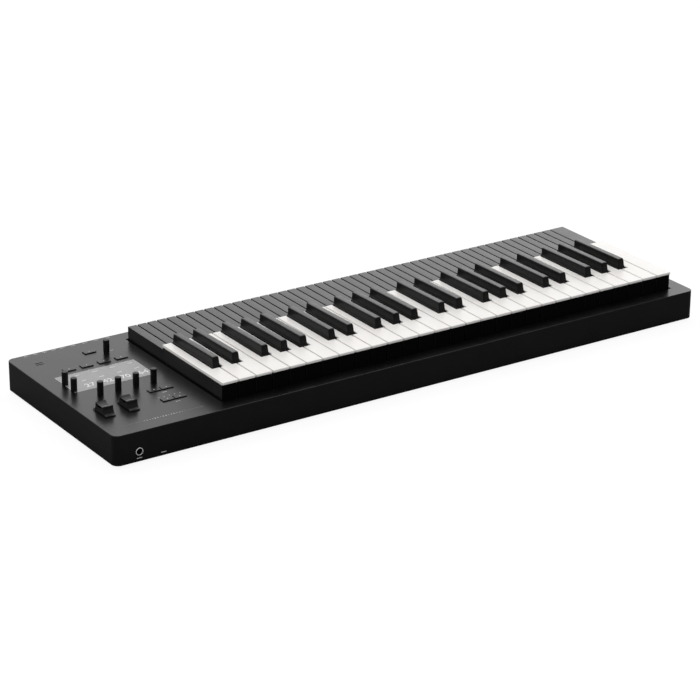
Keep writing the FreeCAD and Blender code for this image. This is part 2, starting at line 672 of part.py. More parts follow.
# ---- controls ----
def make_display():
    x0, y0 = from_corner([WINDOW_LEFT, WINDOW_FRONT])
    gap = WINDOW_CLEARANCE
    window = block(x0 + gap, x0 + WINDOW_WIDTH - gap, y0 + gap, y0 + WINDOW_DEPTH - gap,
                   CASE_TOP - WINDOW_THICKNESS, CASE_TOP)
    for x, y in knob_places().values():
        window = window.cut(rod(x, y, PANEL_UNDERSIDE, CASE_TOP, SHAFT_RADIUS + SHAFT_HOLE_CLEARANCE))
    save("display_window", [window])
    screen = screen_box(SCREEN_RIM)
    save("display_screen", [block(*screen, CONTROL_BOARD_TOP, PANEL_UNDERSIDE)])


def make_knobs():
    bottom = CASE_TOP + KNOB_GAP
    top = CASE_TOP + KNOB_HEIGHT
    bore_top = bottom + KNOB_BORE_DEPTH
    shaft_bottom = CONTROL_BOARD_TOP + ENCODER_FLOOR + RUNNING_CLEARANCE
    half = ENCODER_SIZE / 2
    encoders = []
    for name, (x, y) in knob_places().items():
        body = rod(x, y, bottom, top, KNOB_RADIUS)
        ends = [edge for edge in body.Edges if edge.BoundBox.ZLength < 0.01]
        knob = body.makeChamfer(KNOB_CHAMFER, ends).cut(rod(x, y, bottom, bore_top, SHAFT_RADIUS))
        save(name, [knob, rod(x, y, shaft_bottom, bore_top, SHAFT_RADIUS)])
        encoder = block(x - half, x + half, y - half, y + half, CONTROL_BOARD_TOP, PANEL_UNDERSIDE)
        floor = CONTROL_BOARD_TOP + ENCODER_FLOOR
        bore = rod(x, y, floor, PANEL_UNDERSIDE, SHAFT_RADIUS + RUNNING_CLEARANCE)
        encoders.append(encoder.cut(bore))
    save("knob_encoders", encoders)


def make_buttons():
    half_width = BUTTON_WIDTH / 2
    half_length = BUTTON_LENGTH / 2
    flange_top = PANEL_UNDERSIDE - BUTTON_FLANGE_GAP
    flange_bottom = flange_top - BUTTON_FLANGE_THICKNESS
    half_switch = SWITCH_SIZE / 2
    switch_top = CONTROL_BOARD_TOP + SWITCH_HEIGHT
    switches = []
    places = single_button_places()
    places.update(paired_button_places())
    for name, (x, y) in places.items():
        cap = block(x - half_width, x + half_width, y - half_length, y + half_length, flange_top,
                    CASE_TOP + BUTTON_RISE)
        reach = half_length + BUTTON_FLANGE
        flange = block(x - half_width, x + half_width, y - reach, y + reach, flange_bottom, flange_top)
        save(name, [cap.fuse(flange).removeSplitter()])
        body = block(x - half_switch, x + half_switch, y - half_switch, y + half_switch,
                     CONTROL_BOARD_TOP, switch_top)
        plunger = rod(x, y, switch_top, flange_bottom - BUTTON_TRAVEL - BUTTON_CLEARANCE, PLUNGER_RADIUS)
        switches.append(body.fuse(plunger).removeSplitter())
    save("button_switches", switches)


def slider_profile(y):
    bottom = CASE_TOP + SLIDER_GAP
    foot_top = bottom + SLIDER_FOOT_THICKNESS
    top = CASE_TOP + SLIDER_HEIGHT
    half_top = SLIDER_TOP_LENGTH / 2
    half_foot = SLIDER_FOOT_LENGTH / 2
    flank_y = (half_top + half_foot) / 2 - (half_foot - half_top) / 4
    flank_z = foot_top + (top - foot_top) / 4
    front_foot = FreeCAD.Vector(0, y - half_foot, foot_top)
    front_flank = FreeCAD.Vector(0, y - flank_y, flank_z)
    front_lip = FreeCAD.Vector(0, y - half_top, top)
    dish = FreeCAD.Vector(0, y, top - SLIDER_DISH)
    rear_lip = FreeCAD.Vector(0, y + half_top, top)
    rear_flank = FreeCAD.Vector(0, y + flank_y, flank_z)
    rear_foot = FreeCAD.Vector(0, y + half_foot, foot_top)
    front_corner = FreeCAD.Vector(0, y - half_foot, bottom)
    rear_corner = FreeCAD.Vector(0, y + half_foot, bottom)
    edges = [
        Part.LineSegment(front_corner, front_foot).toShape(),
        Part.Arc(front_foot, front_flank, front_lip).toShape(),
        Part.Arc(front_lip, dish, rear_lip).toShape(),
        Part.Arc(rear_lip, rear_flank, rear_foot).toShape(),
        Part.LineSegment(rear_foot, rear_corner).toShape(),
        Part.LineSegment(rear_corner, front_corner).toShape(),
    ]
    return Part.Face(Part.Wire(edges))


def make_sliders():
    half_stem = SLIDER_STEM_WIDTH / 2
    half_stem_length = SLIDER_STEM_LENGTH / 2
    half_slot = half_stem + SLIDER_SLOT_CLEARANCE
    slot_length = half_stem_length + SLIDER_TRAVEL + SLIDER_SLOT_CLEARANCE
    half_track = SLIDER_TRACK_WIDTH / 2
    floor = CONTROL_BOARD_TOP + ENCODER_FLOOR
    tracks = []
    for name, (x, y) in slider_places().items():
        profile = slider_profile(y)
        profile.translate(FreeCAD.Vector(x - SLIDER_WIDTH / 2, 0, 0))
        cap = profile.extrude(FreeCAD.Vector(SLIDER_WIDTH, 0, 0))
        stem = block(x - half_stem, x + half_stem, y - half_stem_length, y + half_stem_length,
                     floor + SIDE_CLEARANCE, CASE_TOP + SLIDER_GAP)
        save(name, [cap.fuse(stem).removeSplitter()])
        end = slot_length + SLIDER_TRACK_END
        track = block(x - half_track, x + half_track, y - end, y + end, CONTROL_BOARD_TOP, PANEL_UNDERSIDE)
        slot = block(x - half_slot, x + half_slot, y - slot_length, y + slot_length, floor, PANEL_UNDERSIDE)
        tracks.append(track.cut(slot))
    save("slider_tracks", tracks)


# ---- boards and sockets ----
def make_boards():
    x0, y0 = from_corner([CONTROL_BOARD_LEFT, CONTROL_BOARD_FRONT])
    x1, y1 = from_corner([CONTROL_BOARD_RIGHT, CONTROL_BOARD_REAR])
    board = block(x0, x1, y0, y1, CONTROL_BOARD_BOTTOM, CONTROL_BOARD_TOP)
    holes = [rod(x, y, CONTROL_BOARD_BOTTOM, CONTROL_BOARD_TOP, SCREW_RADIUS) for x, y in board_posts()]
    save("control_board", [board.cut(Part.makeCompound(holes))])

    x0, y0 = from_corner([MAIN_BOARD_LEFT, MAIN_BOARD_FRONT])
    x1 = LEFT + MAIN_BOARD_RIGHT
    y1 = REAR - CASE_POST_INSET - POST_RADIUS - SIDE_CLEARANCE
    board = block(x0, x1, y0, y1, MAIN_BOARD_BOTTOM, MAIN_BOARD_TOP)
    standoffs = []
    for x in (x0 + POST_RADIUS, x1 - POST_RADIUS):
        for y in (y0 + POST_RADIUS, y1 - POST_RADIUS):
            standoffs.append(rod(x, y, INNER_FLOOR, MAIN_BOARD_BOTTOM, POST_RADIUS))
    save("main_board", [board] + standoffs)


def usb_box(extra):
    x = LEFT + USB_FROM_LEFT
    z = MAIN_BOARD_TOP
    return x - USB_WIDTH / 2 - extra, x + USB_WIDTH / 2 + extra, z - extra, z + USB_HEIGHT + extra


def power_button_box(extra):
    x = LEFT + POWER_BUTTON_FROM_LEFT
    half = POWER_BUTTON_SIZE / 2 + extra
    return x - half, x + half, SOCKET_Z - half, SOCKET_Z + half


def headphone_place():
    return LEFT + HEADPHONE_FROM_LEFT, CASE_BOTTOM + HEADPHONE_ABOVE_BOTTOM


def jack_socket(x, z, size, face, inward, neck_radius, bore_radius):
    inner = face + inward * WALL
    back = inner + inward * SOCKET_DEPTH
    low, high = sorted([inner, back])
    body = block(x - size / 2, x + size / 2, low, high, z - size / 2, z + size / 2)
    low, high = sorted([face, inner])
    neck = rod_along_y(x, low, high, z, neck_radius)
    low, high = sorted([face, face + inward * SOCKET_BORE_DEPTH])
    bore = rod_along_y(x, low, high, z, bore_radius)
    return body.fuse(neck).removeSplitter().cut(bore)


def make_sockets():
    large = []
    for place in LARGE_SOCKETS_FROM_LEFT:
        large.append(jack_socket(LEFT + place, SOCKET_Z, SOCKET_SIZE, REAR, -1, SOCKET_NECK_RADIUS,
                                 SOCKET_BORE_RADIUS))
    x, z = headphone_place()
    large.append(jack_socket(x, z, SOCKET_SIZE, FRONT, 1, SOCKET_NECK_RADIUS, SOCKET_BORE_RADIUS))
    save("audio_sockets", large)

    small = []
    for place in SMALL_SOCKETS_FROM_LEFT:
        z = MAIN_BOARD_TOP + SMALL_SOCKET_SIZE / 2
        small.append(jack_socket(LEFT + place, z, SMALL_SOCKET_SIZE, REAR, -1, SMALL_NECK_RADIUS,
                                 SMALL_BORE_RADIUS))
    x0, x1, z0, z1 = usb_box(0)
    usb = block(x0, x1, REAR - WALL - SOCKET_BORE_DEPTH, REAR, z0, z1)
    wall = USB_WALL
    usb = usb.cut(block(x0 + wall, x1 - wall, REAR - SOCKET_BORE_DEPTH, REAR, z0 + wall, z1 - wall))
    x = LEFT + POWER_INLET_FROM_LEFT
    neck_radius = POWER_INLET_RADIUS + WALL / 2
    inlet = jack_socket(x, SOCKET_Z, SOCKET_SIZE, REAR, -1, neck_radius, POWER_INLET_RADIUS)
    contact = rod_along_y(x, REAR - SOCKET_BORE_DEPTH, REAR - WALL, SOCKET_Z, POWER_PIN_RADIUS)
    x0, x1, z0, z1 = power_button_box(POWER_COLLAR)
    switch_rear = power_collar_front() - POWER_BUTTON_TRAVEL - SIDE_CLEARANCE
    switch = block(x0, x1, switch_rear - POWER_SWITCH_DEPTH, switch_rear, MAIN_BOARD_TOP, z1)
    save("data_and_power_sockets", small + [usb, inlet.fuse(contact).removeSplitter(), switch])


def power_collar_front():
    return REAR - WALL - SIDE_CLEARANCE - WALL


def make_power_button():
    x0, x1, z0, z1 = power_button_box(0)
    face = REAR - POWER_BUTTON_RECESS
    collar_rear = REAR - WALL - SIDE_CLEARANCE
    cap = block(x0, x1, collar_rear, face, z0, z1)
    x0, x1, z0, z1 = power_button_box(POWER_COLLAR)
    collar = block(x0, x1, power_collar_front(), collar_rear, z0, z1)
    save("power_button", [cap.fuse(collar).removeSplitter()])


os.makedirs("parts", exist_ok=True)
make_case()
make_feet_and_screws()
make_chassis()
make_keys()
make_display()
make_knobs()
make_buttons()
make_sliders()
make_boards()
make_sockets()
make_power_button()
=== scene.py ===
import math

import bmesh
import bpy
from mathutils import Matrix, Vector


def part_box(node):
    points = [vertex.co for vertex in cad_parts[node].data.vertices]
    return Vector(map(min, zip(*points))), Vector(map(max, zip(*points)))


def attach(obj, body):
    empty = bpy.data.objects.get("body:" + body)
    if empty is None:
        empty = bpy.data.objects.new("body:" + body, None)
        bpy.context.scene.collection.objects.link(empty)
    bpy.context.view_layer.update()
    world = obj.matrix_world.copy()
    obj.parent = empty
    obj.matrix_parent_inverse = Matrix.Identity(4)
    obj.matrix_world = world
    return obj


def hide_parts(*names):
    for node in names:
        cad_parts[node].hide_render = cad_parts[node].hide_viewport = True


bl_info = {
    "name": "Desk synthesizer",
    "version": (1, 0, 0),
    "blender": (4, 5, 0),
    "location": "3D View > Sidebar > Synthesizer",
    "description": "Makes the keys, controls, sockets and finishes of a 49-key desk synthesizer",
    "category": "Object",
}

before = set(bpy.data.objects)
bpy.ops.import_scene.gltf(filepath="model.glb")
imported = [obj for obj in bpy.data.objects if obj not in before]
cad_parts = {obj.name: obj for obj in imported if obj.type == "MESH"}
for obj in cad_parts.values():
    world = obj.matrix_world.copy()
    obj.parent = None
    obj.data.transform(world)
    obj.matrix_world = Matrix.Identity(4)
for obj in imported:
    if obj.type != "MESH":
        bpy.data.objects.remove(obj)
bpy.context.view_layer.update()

MM = 0.001
MATH = "ShaderNodeMath"
WHITE_NOTES = ("c", "d", "e", "f", "g", "a", "b")
BLACK_NOTES = ("c_sharp", "d_sharp", "f_sharp", "g_sharp", "a_sharp")
ROW_KNOBS = ("sound_knob_1", "sound_knob_2", "sound_knob_3", "sound_knob_4")
KNOBS = ROW_KNOBS + ("page_knob", "preset_knob", "volume_knob")
OCTAVE_BUTTONS = ("octave_down_button", "octave_up_button")
EDIT_BUTTONS = ("edit_left_button", "edit_right_button")
BUTTONS = OCTAVE_BUTTONS + EDIT_BUTTONS + (
    "home_button", "page_button_1", "page_button_2", "page_button_3", "page_button_4")
SLIDERS = ("bend_slider", "modulation_slider")
CASE_LOW, CASE_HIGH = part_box("top_case")
PANEL_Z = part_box("display_window")[1].z

# The sizes of the keys, as the CAD part has them.
CAP_THICKNESS = 3.5 * MM
TAIL_DROP = 6.0 * MM
BLACK_WIDTH = 12.1 * MM
BLACK_LENGTH = 95.6 * MM
LEVER_SEAM_Y = 27.0 * MM
SEAM_HALF_THICK = 0.02 * MM

# Two places this near each other count as the same.
HAIR = 0.01 * MM

# A map range's sockets 7 to 10 are its vector limits. A colour runs from dark to light between these two.
SHADE_FROM = {7: (0.35, 0.35, 0.35), 8: (0.65, 0.65, 0.65)}

# Small sizes of the controls, screws and sockets.
KNOB_LIFT = 0.5 * MM
KNOB_EDGE = 0.45 * MM
KNOB_SHAFT_RADIUS = 3.0 * MM
SPUN_DISC_HEIGHT = 0.08 * MM
BUTTON_MARK_HALF = 0.6 * MM
POWER_MARK_HALF_WIDTH, POWER_MARK_HALF_HEIGHT = 0.4 * MM, 1.8 * MM
SLIDER_TOP_HALF_LENGTH = 9.5 * MM
SCREW_HEAD_RADIUS, SCREW_HEAD_HEIGHT, SCREW_SHANK_RADIUS = 2.8 * MM, 1.6 * MM, 1.5 * MM
CASE_SCREW_LENGTH = 10 * MM
SHELL_INSET, SHELL_RIM, SHELL_DEPTH, SHELL_PROUD = 0.3 * MM, 0.7 * MM, 2 * MM, 0.3 * MM
TONGUE_HALF_WIDTH, TONGUE_HALF_HEIGHT = 2.8 * MM, 1.6 * MM
TONGUE_DEEP, TONGUE_SHALLOW = 14 * MM, 1.5 * MM

# Where the marks lie on the display and the panel.
DIGITS_RIGHT_OF_KNOB, DIGITS_UP = 3.6 * MM, 11.4 * MM
LINES_UP = (27 * MM, 45 * MM)
# The width of the pale strip of painted highlight along the display window's edges.
DISPLAY_RIM_HIGHLIGHT = 0.35 * MM
PANEL_LINE_FROM_FRONT, PANEL_LINE_HALF = 22.5 * MM, 0.12 * MM
PANEL_TICKS, TICK_PITCH, TICK_HALF = 15, 3.6 * MM, 0.4 * MM
MARK_HALF_LENGTH, MARK_HALF_WIDTH, MARK_SPREAD = 5 * MM, 0.9 * MM, 2.4 * MM


# ---- colours and nodes ----
def linear(code):
    """An sRGB hex colour as linear red, green, blue and alpha."""
    parts = [int(code[i:i + 2], 16) / 255 for i in (1, 3, 5)]
    return tuple(p / 12.92 if p <= 0.04045 else ((p + 0.055) / 1.055) ** 2.4 for p in parts) + (1.0,)


def add(tree, kind, inputs=None, **settings):
    """A node with its settings, and each input set to a value or linked to a socket or a node's first output."""
    node = tree.nodes.new(kind)
    for name, value in settings.items():
        setattr(node, name, value)
    for key, value in (inputs or {}).items():
        if isinstance(value, bpy.types.Node):
            value = value.outputs[0]
        if isinstance(value, bpy.types.NodeSocket):
            tree.links.new(value, node.inputs[key])
        else:
            node.inputs[key].default_value = value
    return node


def principled(name, sockets):
    """A material with one Principled shader, and that shader's node."""
    material = bpy.data.materials.new(name)
    material.use_nodes = True
    tree = material.node_tree
    tree.nodes.clear()
    shader = add(tree, "ShaderNodeBsdfPrincipled", sockets)
    add(tree, "ShaderNodeOutputMaterial", {"Surface": shader})
    return material, tree, shader


def moulded(name, dark, light, roughness, spread, grain_mm, depth_mm, patch_mm=35.0, **sockets):
    """A moulded or painted surface: fine grain in the bump, broad faint patches in colour and gloss."""
    material, tree, shader = principled(name, sockets)
    place = add(tree, "ShaderNodeTexCoord").outputs["Object"]
    patches = add(tree, "ShaderNodeTexNoise", {"Vector": place, "Scale": 1 / (patch_mm * MM)})
    shade = add(tree, "ShaderNodeMapRange", {
        **SHADE_FROM, 6: patches, 9: linear(dark)[:3], 10: linear(light)[:3]}, data_type="FLOAT_VECTOR")
    tree.links.new(shade.outputs["Vector"], shader.inputs["Base Color"])
    gloss = add(tree, "ShaderNodeMapRange", {
        "Value": patches, "From Min": 0.3, "From Max": 0.7,
        "To Min": roughness - spread, "To Max": roughness + spread})
    tree.links.new(gloss.outputs[0], shader.inputs["Roughness"])
    grain = add(tree, "ShaderNodeTexNoise", {"Vector": place, "Scale": 1 / (grain_mm * MM)})
    bump = add(tree, "ShaderNodeBump", {"Height": grain, "Distance": depth_mm * MM, "Strength": 1.0})
    tree.links.new(bump.outputs[0], shader.inputs["Normal"])
    return material


def galvanised_steel():
    """Hot-dip galvanised sheet, as rolled: grey zinc crystals a few millimetres across, each with its own sheen."""
    material, tree, shader = principled("galvanised steel, zinc crystals", {"Metallic": 1.0})
    place = add(tree, "ShaderNodeTexCoord").outputs["Object"]
    crystals = add(tree, "ShaderNodeTexVoronoi", {"Vector": place, "Scale": 1 / (6 * MM)})
    shade = add(tree, "ShaderNodeMapRange", {
        **SHADE_FROM, 6: crystals, 9: linear("#8f9294")[:3], 10: linear("#a9acae")[:3]}, data_type="FLOAT_VECTOR")
    tree.links.new(shade.outputs["Vector"], shader.inputs["Base Color"])
    gloss = add(tree, "ShaderNodeMapRange", {"Value": crystals, "To Min": 0.32, "To Max": 0.5})
    tree.links.new(gloss.outputs[0], shader.inputs["Roughness"])
    return material


def turned_metal(name, dark, light, roughness, line_mm):
    """Drawn or turned metal, plated after: fine lines that catch the light across the piece."""
    material, tree, shader = principled(name, {"Metallic": 1.0})
    place = add(tree, "ShaderNodeTexCoord").outputs["Object"]
    stretch = add(tree, "ShaderNodeMapping", {"Vector": place, "Scale": (0.05, 1.0, 1.0)})
    lines = add(tree, "ShaderNodeTexNoise", {"Vector": stretch, "Scale": 1 / (line_mm * MM), "Detail": 3.0})
    shade = add(tree, "ShaderNodeMapRange", {
        **SHADE_FROM, 6: lines, 9: linear(dark)[:3], 10: linear(light)[:3]}, data_type="FLOAT_VECTOR")
    tree.links.new(shade.outputs["Vector"], shader.inputs["Base Color"])
    gloss = add(tree, "ShaderNodeMapRange", {
        "Value": lines, "To Min": roughness - 0.06, "To Max": roughness + 0.06})
    tree.links.new(gloss.outputs[0], shader.inputs["Roughness"])
    return material


def wool_felt():
    """Pressed wool felt: matted fibres, so it is soft-edged and has no gloss at all."""
    material, tree, shader = principled("pressed wool felt", {
        "Roughness": 1.0, "Sheen Weight": 0.4, "Sheen Roughness": 0.5, "Specular IOR Level": 0.1})
    place = add(tree, "ShaderNodeTexCoord").outputs["Object"]
    fibres = add(tree, "ShaderNodeTexNoise", {"Vector": place, "Scale": 1 / (0.8 * MM), "Detail": 6.0})
    shade = add(tree, "ShaderNodeMapRange", {
        **SHADE_FROM, 6: fibres, 9: linear("#5c1a1c")[:3], 10: linear("#7d2a2b")[:3]}, data_type="FLOAT_VECTOR")
    tree.links.new(shade.outputs["Vector"], shader.inputs["Base Color"])
    bump = add(tree, "ShaderNodeBump", {"Height": fibres, "Distance": 0.3 * MM, "Strength": 1.0})
    tree.links.new(bump.outputs[0], shader.inputs["Normal"])
    return material


def circuit_board():
    """Glass-epoxy board under green solder mask: copper tracks show through as slightly lighter, raised lines."""
    material, tree, shader = principled("glass-epoxy board, green solder mask", {
        "Roughness": 0.35, "Coat Weight": 0.3})
    place = add(tree, "ShaderNodeTexCoord").outputs["Object"]
    tracks = add(tree, "ShaderNodeTexBrick", {
        "Vector": place, "Scale": 1 / (9 * MM), "Mortar Size": 0.03,
        "Color1": linear("#11402a"), "Color2": linear("#0f3a26"), "Mortar": linear("#1f6340")})
    tree.links.new(tracks.outputs["Color"], shader.inputs["Base Color"])
    bump = add(tree, "ShaderNodeBump", {
        "Height": tracks.outputs["Fac"], "Distance": 0.05 * MM, "Strength": 1.0})
    tree.links.new(bump.outputs[0], shader.inputs["Normal"])
    return material


def backlit_display():
    """A grey dot-matrix display behind hard-coated acrylic: even cell grid below, hard gloss on top."""
    material, tree, shader = principled("display behind hard-coated acrylic", {
        "Roughness": 0.5, "Coat Weight": 1.0, "Coat Roughness": 0.06, "Coat IOR": 1.49})
    place = add(tree, "ShaderNodeTexCoord").outputs["Object"]
    # The real cell is 0.2 mm across. It is drawn at 0.6 mm, the finest that shows.
    cells = add(tree, "ShaderNodeTexBrick", {
        "Vector": place, "Scale": 1 / (0.6 * MM), "Mortar Size": 0.04,
        "Brick Width": 1.0, "Row Height": 1.0,
        "Color1": linear("#7c7c7d"), "Color2": linear("#818182"), "Mortar": linear("#6f6f71")}, offset=0.0)
    tree.links.new(cells.outputs["Color"], shader.inputs["Base Color"])
    return material


def make_materials():
    """Every finish, by the short name that the pieces use."""
    return {
        # Spark-eroded black ABS: a fine even grain, so the desk and the keys show in it as soft dark shapes.
        # The real grain is 0.1 mm. It is drawn at 0.7 mm, the finest that shows.
        "case": moulded("black ABS, spark-eroded grain", "#060607", "#09090a", 0.29, 0.02, 0.7, 0.003, IOR=1.5),
        # Powder coat on steel sheet: orange-peel lumps and an even low gloss.
        "plate": moulded("black powder coat on steel sheet", "#101011", "#151516", 0.55, 0.04, 1.2, 0.03),
        # Moulded rubber: almost no gloss, with a bloom that greys it in patches.
        "rubber": moulded("black moulded rubber", "#121212", "#1c1c1b", 0.85, 0.05, 0.9, 0.03, 8.0, IOR=1.45),
        # Glass-filled ABS, moulded and left matt: the long lever of each key, greyer than the case.
        "lever": moulded("dark glass-filled ABS, matt", "#0d0d0e", "#111112", 0.30, 0.02, 0.8, 0.003, IOR=1.52),
        # Rough near-black ABS with little gloss: painted shade on the front of each lever, which faces away from
        # the light, and on a strip in the open joint in its side, for the shade in the gap. Neither catches the
        # light.
        "joint": moulded("near-black ABS for painted shade", "#020202", "#030303", 0.8, 0.02, 0.8, 0.003,
                         **{"Specular IOR Level": 0.15}),
        # Polished white ABS: the playing surface, close and smooth, with a soft broad highlight.
        "white_key": moulded("white ABS, satin polished", "#f0edea", "#f3f1ee", 0.34, 0.03, 6.0, 0.004, IOR=1.5),
        # Black ABS with a matting agent: smooth to the touch, yet it hardly mirrors the white keys beside it.
        "black_key": moulded("black ABS, satin, matted", "#0c0b0b", "#100f0f", 0.36, 0.03, 1.5, 0.005, IOR=1.5,
                             **{"Specular IOR Level": 0.2}),
        # Painted highlight: the top of a black key gets a lighter colour than its sides, for the light that falls
        # on it, and a little less roughness.
        "black_top": moulded("black ABS, top with painted highlight", "#121011", "#1c1a1b", 0.30, 0.05, 1.2, 0.006, 6.0, IOR=1.5),
        # Moulded knob: fine matt.
        "knob": moulded("black ABS knob, fluted", "#090909", "#0d0d0e", 0.40, 0.03, 0.6, 0.004, 5.0, IOR=1.5),
        # The knob's top is spun matt, so it is a shade lighter than the flutes.
        "knob_top": moulded("black ABS knob top, spun matt", "#1c1c1d", "#242425", 0.5, 0.02, 0.6, 0.003, 5.0),
        # Two-shot button: the same grain as the case and a pale printed mark.
        "button": moulded("black ABS button, spark-eroded grain", "#070708", "#0a0a0b", 0.30, 0.02, 0.7, 0.003),
        # Soft-touch slider cap: rubbery lacquer that blurs what it reflects.
        "slider": moulded("black ABS slider, soft-touch lacquer", "#0b0b0c", "#101011",
                          0.42, 0.03, 0.8, 0.004, 8.0),
        # Screen-print inks: flat and matt, and a hair proud of the plastic.
        "ink": moulded("grey screen-print ink", "#8d8d8d", "#9a9a9a", 0.6, 0.03, 0.5, 0.002),
        "white_ink": moulded("white screen-print ink", "#d8d8d8", "#e6e6e6", 0.6, 0.03, 0.5, 0.002),
        "black_ink": moulded("black matt screen-print ink", "#020202", "#040404", 0.7, 0.03, 0.5, 0.002,
                             **{"Specular IOR Level": 0.05}),
        # What the display shows: pale cells under the same acrylic, so they keep its gloss. The same finish paints
        # a highlight along the window's rim.
        "lit_cells": moulded("lit display cells", "#d2d2d2", "#dedede", 0.3, 0.02, 0.6, 0.001),
        # A light pipe: milky acrylic that is bright even when its lamp is off.
        "lens": moulded("milky light-pipe lens", "#e8e8e6", "#f2f2f0", 0.3, 0.02, 0.8, 0.002),
        # Black acetal, moulded: the waxy low gloss of a bearing block.
        "acetal": moulded("black acetal, moulded", "#0a0a0a", "#0f0f0f", 0.4, 0.04, 1.0, 0.01, 10.0),
        # Nylon and switch bodies: plain moulded goods with a dull grain.
        "socket": moulded("black nylon socket body", "#0d0d0e", "#141415", 0.5, 0.04, 0.7, 0.01, 8.0),
        "switchgear": moulded("grey moulded switch body", "#2c2d2f", "#35363a", 0.5, 0.04, 0.7, 0.01, 8.0),
        "chassis_steel": galvanised_steel(),
        "rail": turned_metal("bright zinc-plated steel rod", "#b4b7b8", "#c6c8c9", 0.28, 0.3),
        "screw_steel": turned_metal("black-oxide screw steel", "#2a2a2c", "#3a3a3c", 0.38, 0.3),
        "nickel": turned_metal("nickel-plated brass", "#b9b6ae", "#cfccc4", 0.22, 0.3),
        "felt": wool_felt(),
        "circuit_board": circuit_board(),
        "screen": backlit_display(),
    }


FINISH = {}


# ---- meshes ----
def cad_copy(node):
    """A CAD node's mesh as a bmesh of loose triangles."""
    bm = bmesh.new()
    bm.from_mesh(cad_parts[node].data)
    return bm


def weld(bm):
    """Joins loose triangles and clears the lines across flat faces."""
    bmesh.ops.remove_doubles(bm, verts=bm.verts, dist=0.002 * MM)
    bmesh.ops.dissolve_limit(bm, angle_limit=math.radians(0.5), verts=bm.verts, edges=bm.edges)
    bm.normal_update()
    return bm


def solids_of(node):
    """The lowest and highest corner of each separate solid in a CAD node, from left to right."""
    bm = weld(cad_copy(node))
    boxes, seen = [], set()
    for start in bm.verts:
        if start in seen:
            continue
        group, waiting = [], [start]
        seen.add(start)
        while waiting:
            vert = waiting.pop()
            group.append(vert.co.copy())
            for edge in vert.link_edges:
                other = edge.other_vert(vert)
                if other not in seen:
                    seen.add(other)
                    waiting.append(other)
        boxes.append((Vector(map(min, *group)), Vector(map(max, *group))))
    bm.free()
    return sorted(boxes, key=lambda box: (box[0].x, box[0].y))


def keep_faces(bm, wanted):
    """Removes the faces that wanted(face) says no to."""
    bm.normal_update()
    bmesh.ops.delete(bm, geom=[face for face in bm.faces if not wanted(face)], context="FACES")
    return bm


def round_edges(bm, chosen, radius_mm, segments=3):
    """Rounds the edges for which chosen(edge) is true."""
    edges = [edge for edge in bm.edges if chosen(edge)]
    bmesh.ops.bevel(bm, geom=edges, offset=radius_mm * MM, offset_type="OFFSET", segments=segments,
                    profile=0.5, affect="EDGES", clamp_overlap=False)
    return bm


def is_corner(edge, degrees=30):
    """True where two faces meet at a clear angle that stands outwards."""
    return (len(edge.link_faces) == 2 and edge.is_convex
            and edge.calc_face_angle(0) > math.radians(degrees))


def both(edge, test):
    """True where the test holds at both ends of the edge."""
    return all(test(vert.co) for vert in edge.verts)


def piece(name, bm, finishes, body, stands_for=()):
    """Turns a bmesh into a smooth-shaded piece that rides on a body."""
    mesh = bpy.data.meshes.new(name)
    bm.to_mesh(mesh)
    bm.free()
    return piece_of_mesh(name, mesh, finishes, body, stands_for)


def piece_of_mesh(name, mesh, finishes, body, stands_for=()):
    """Puts a mesh in the scene as a piece, on its body, in place of the CAD nodes it stands for."""
    for finish in finishes:
        mesh.materials.append(FINISH[finish])
    made = bpy.data.objects.new(name, mesh)
    bpy.context.scene.collection.objects.link(made)
    mesh.polygons.foreach_set("use_smooth", [True] * len(mesh.polygons))
    mesh.set_sharp_from_angle(angle=math.radians(50))
    weights = made.modifiers.new("Even shading", "WEIGHTED_NORMAL")
    weights.keep_sharp = True
    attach(made, body)
    if stands_for:
        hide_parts(*stands_for)
    return made


def box_into(bm, low, high, radius_mm=0.0, material=0):
    """Adds a block with rounded upright and top edges."""
    made = bmesh.ops.create_cube(bm, size=1.0)["verts"]
    centre, size = (low + high) / 2, high - low
    for vert in made:
        vert.co = Vector(c + v * s for c, v, s in zip(centre, vert.co, size))
    faces = list({face for vert in made for face in vert.link_faces})
    for face in faces:
        face.material_index = material
    if radius_mm:
        edges = list({edge for vert in made for edge in vert.link_edges
                      if not both(edge, lambda p: p.z < low.z + 1e-7)})
        bmesh.ops.bevel(bm, geom=edges, offset=radius_mm * MM, offset_type="OFFSET", segments=2,
                        profile=0.5, affect="EDGES", clamp_overlap=True, material=material)


def number_into(bm, text, centre, height, material=0):
    """Adds a number as flat mesh, upright to someone who sits at the keys."""
    curve = bpy.data.curves.new("number", "FONT")
    curve.body, curve.size, curve.extrude, curve.offset = text, height / 0.7, 0.02 * MM, 0.15 * MM
    curve.align_x, curve.align_y = "CENTER", "CENTER"
    holder = bpy.data.objects.new("number", curve)
    bpy.context.scene.collection.objects.link(holder)
    depsgraph = bpy.context.evaluated_depsgraph_get()
    mesh = bpy.data.meshes.new_from_object(holder.evaluated_get(depsgraph), depsgraph=depsgraph)
    bpy.data.objects.remove(holder)
    mesh.transform(Matrix.Translation(centre))
    mesh.polygons.foreach_set("material_index", [material] * len(mesh.polygons))
    bm.from_mesh(mesh)


# ---- geometry node trees ----
def new_tree(name, sizes):
    """A Geometry Nodes tree with named inputs, and the outputs of its first node."""
    tree = bpy.data.node_groups.new(name, "GeometryNodeTree")
    tree.interface.new_socket("Geometry", in_out="INPUT", socket_type="NodeSocketGeometry")
    for label, kind in sizes.items():
        tree.interface.new_socket(label, in_out="INPUT", socket_type="NodeSocket" + kind)
    tree.interface.new_socket("Geometry", in_out="OUTPUT", socket_type="NodeSocketGeometry")
    return tree, add(tree, "NodeGroupInput").outputs


def close_tree(tree, points, shape, finish=None):
    """Puts the shape at each point and ends the tree in real mesh with its material."""
    placed = add(tree, "GeometryNodeInstanceOnPoints", {"Points": points, "Instance": shape})
    ended = add(tree, "GeometryNodeRealizeInstances", {"Geometry": placed})
    if finish:
        ended = add(tree, "GeometryNodeSetMaterial", {"Geometry": ended, "Material": finish})
    add(tree, "NodeGroupOutput", {"Geometry": ended})
    return tree


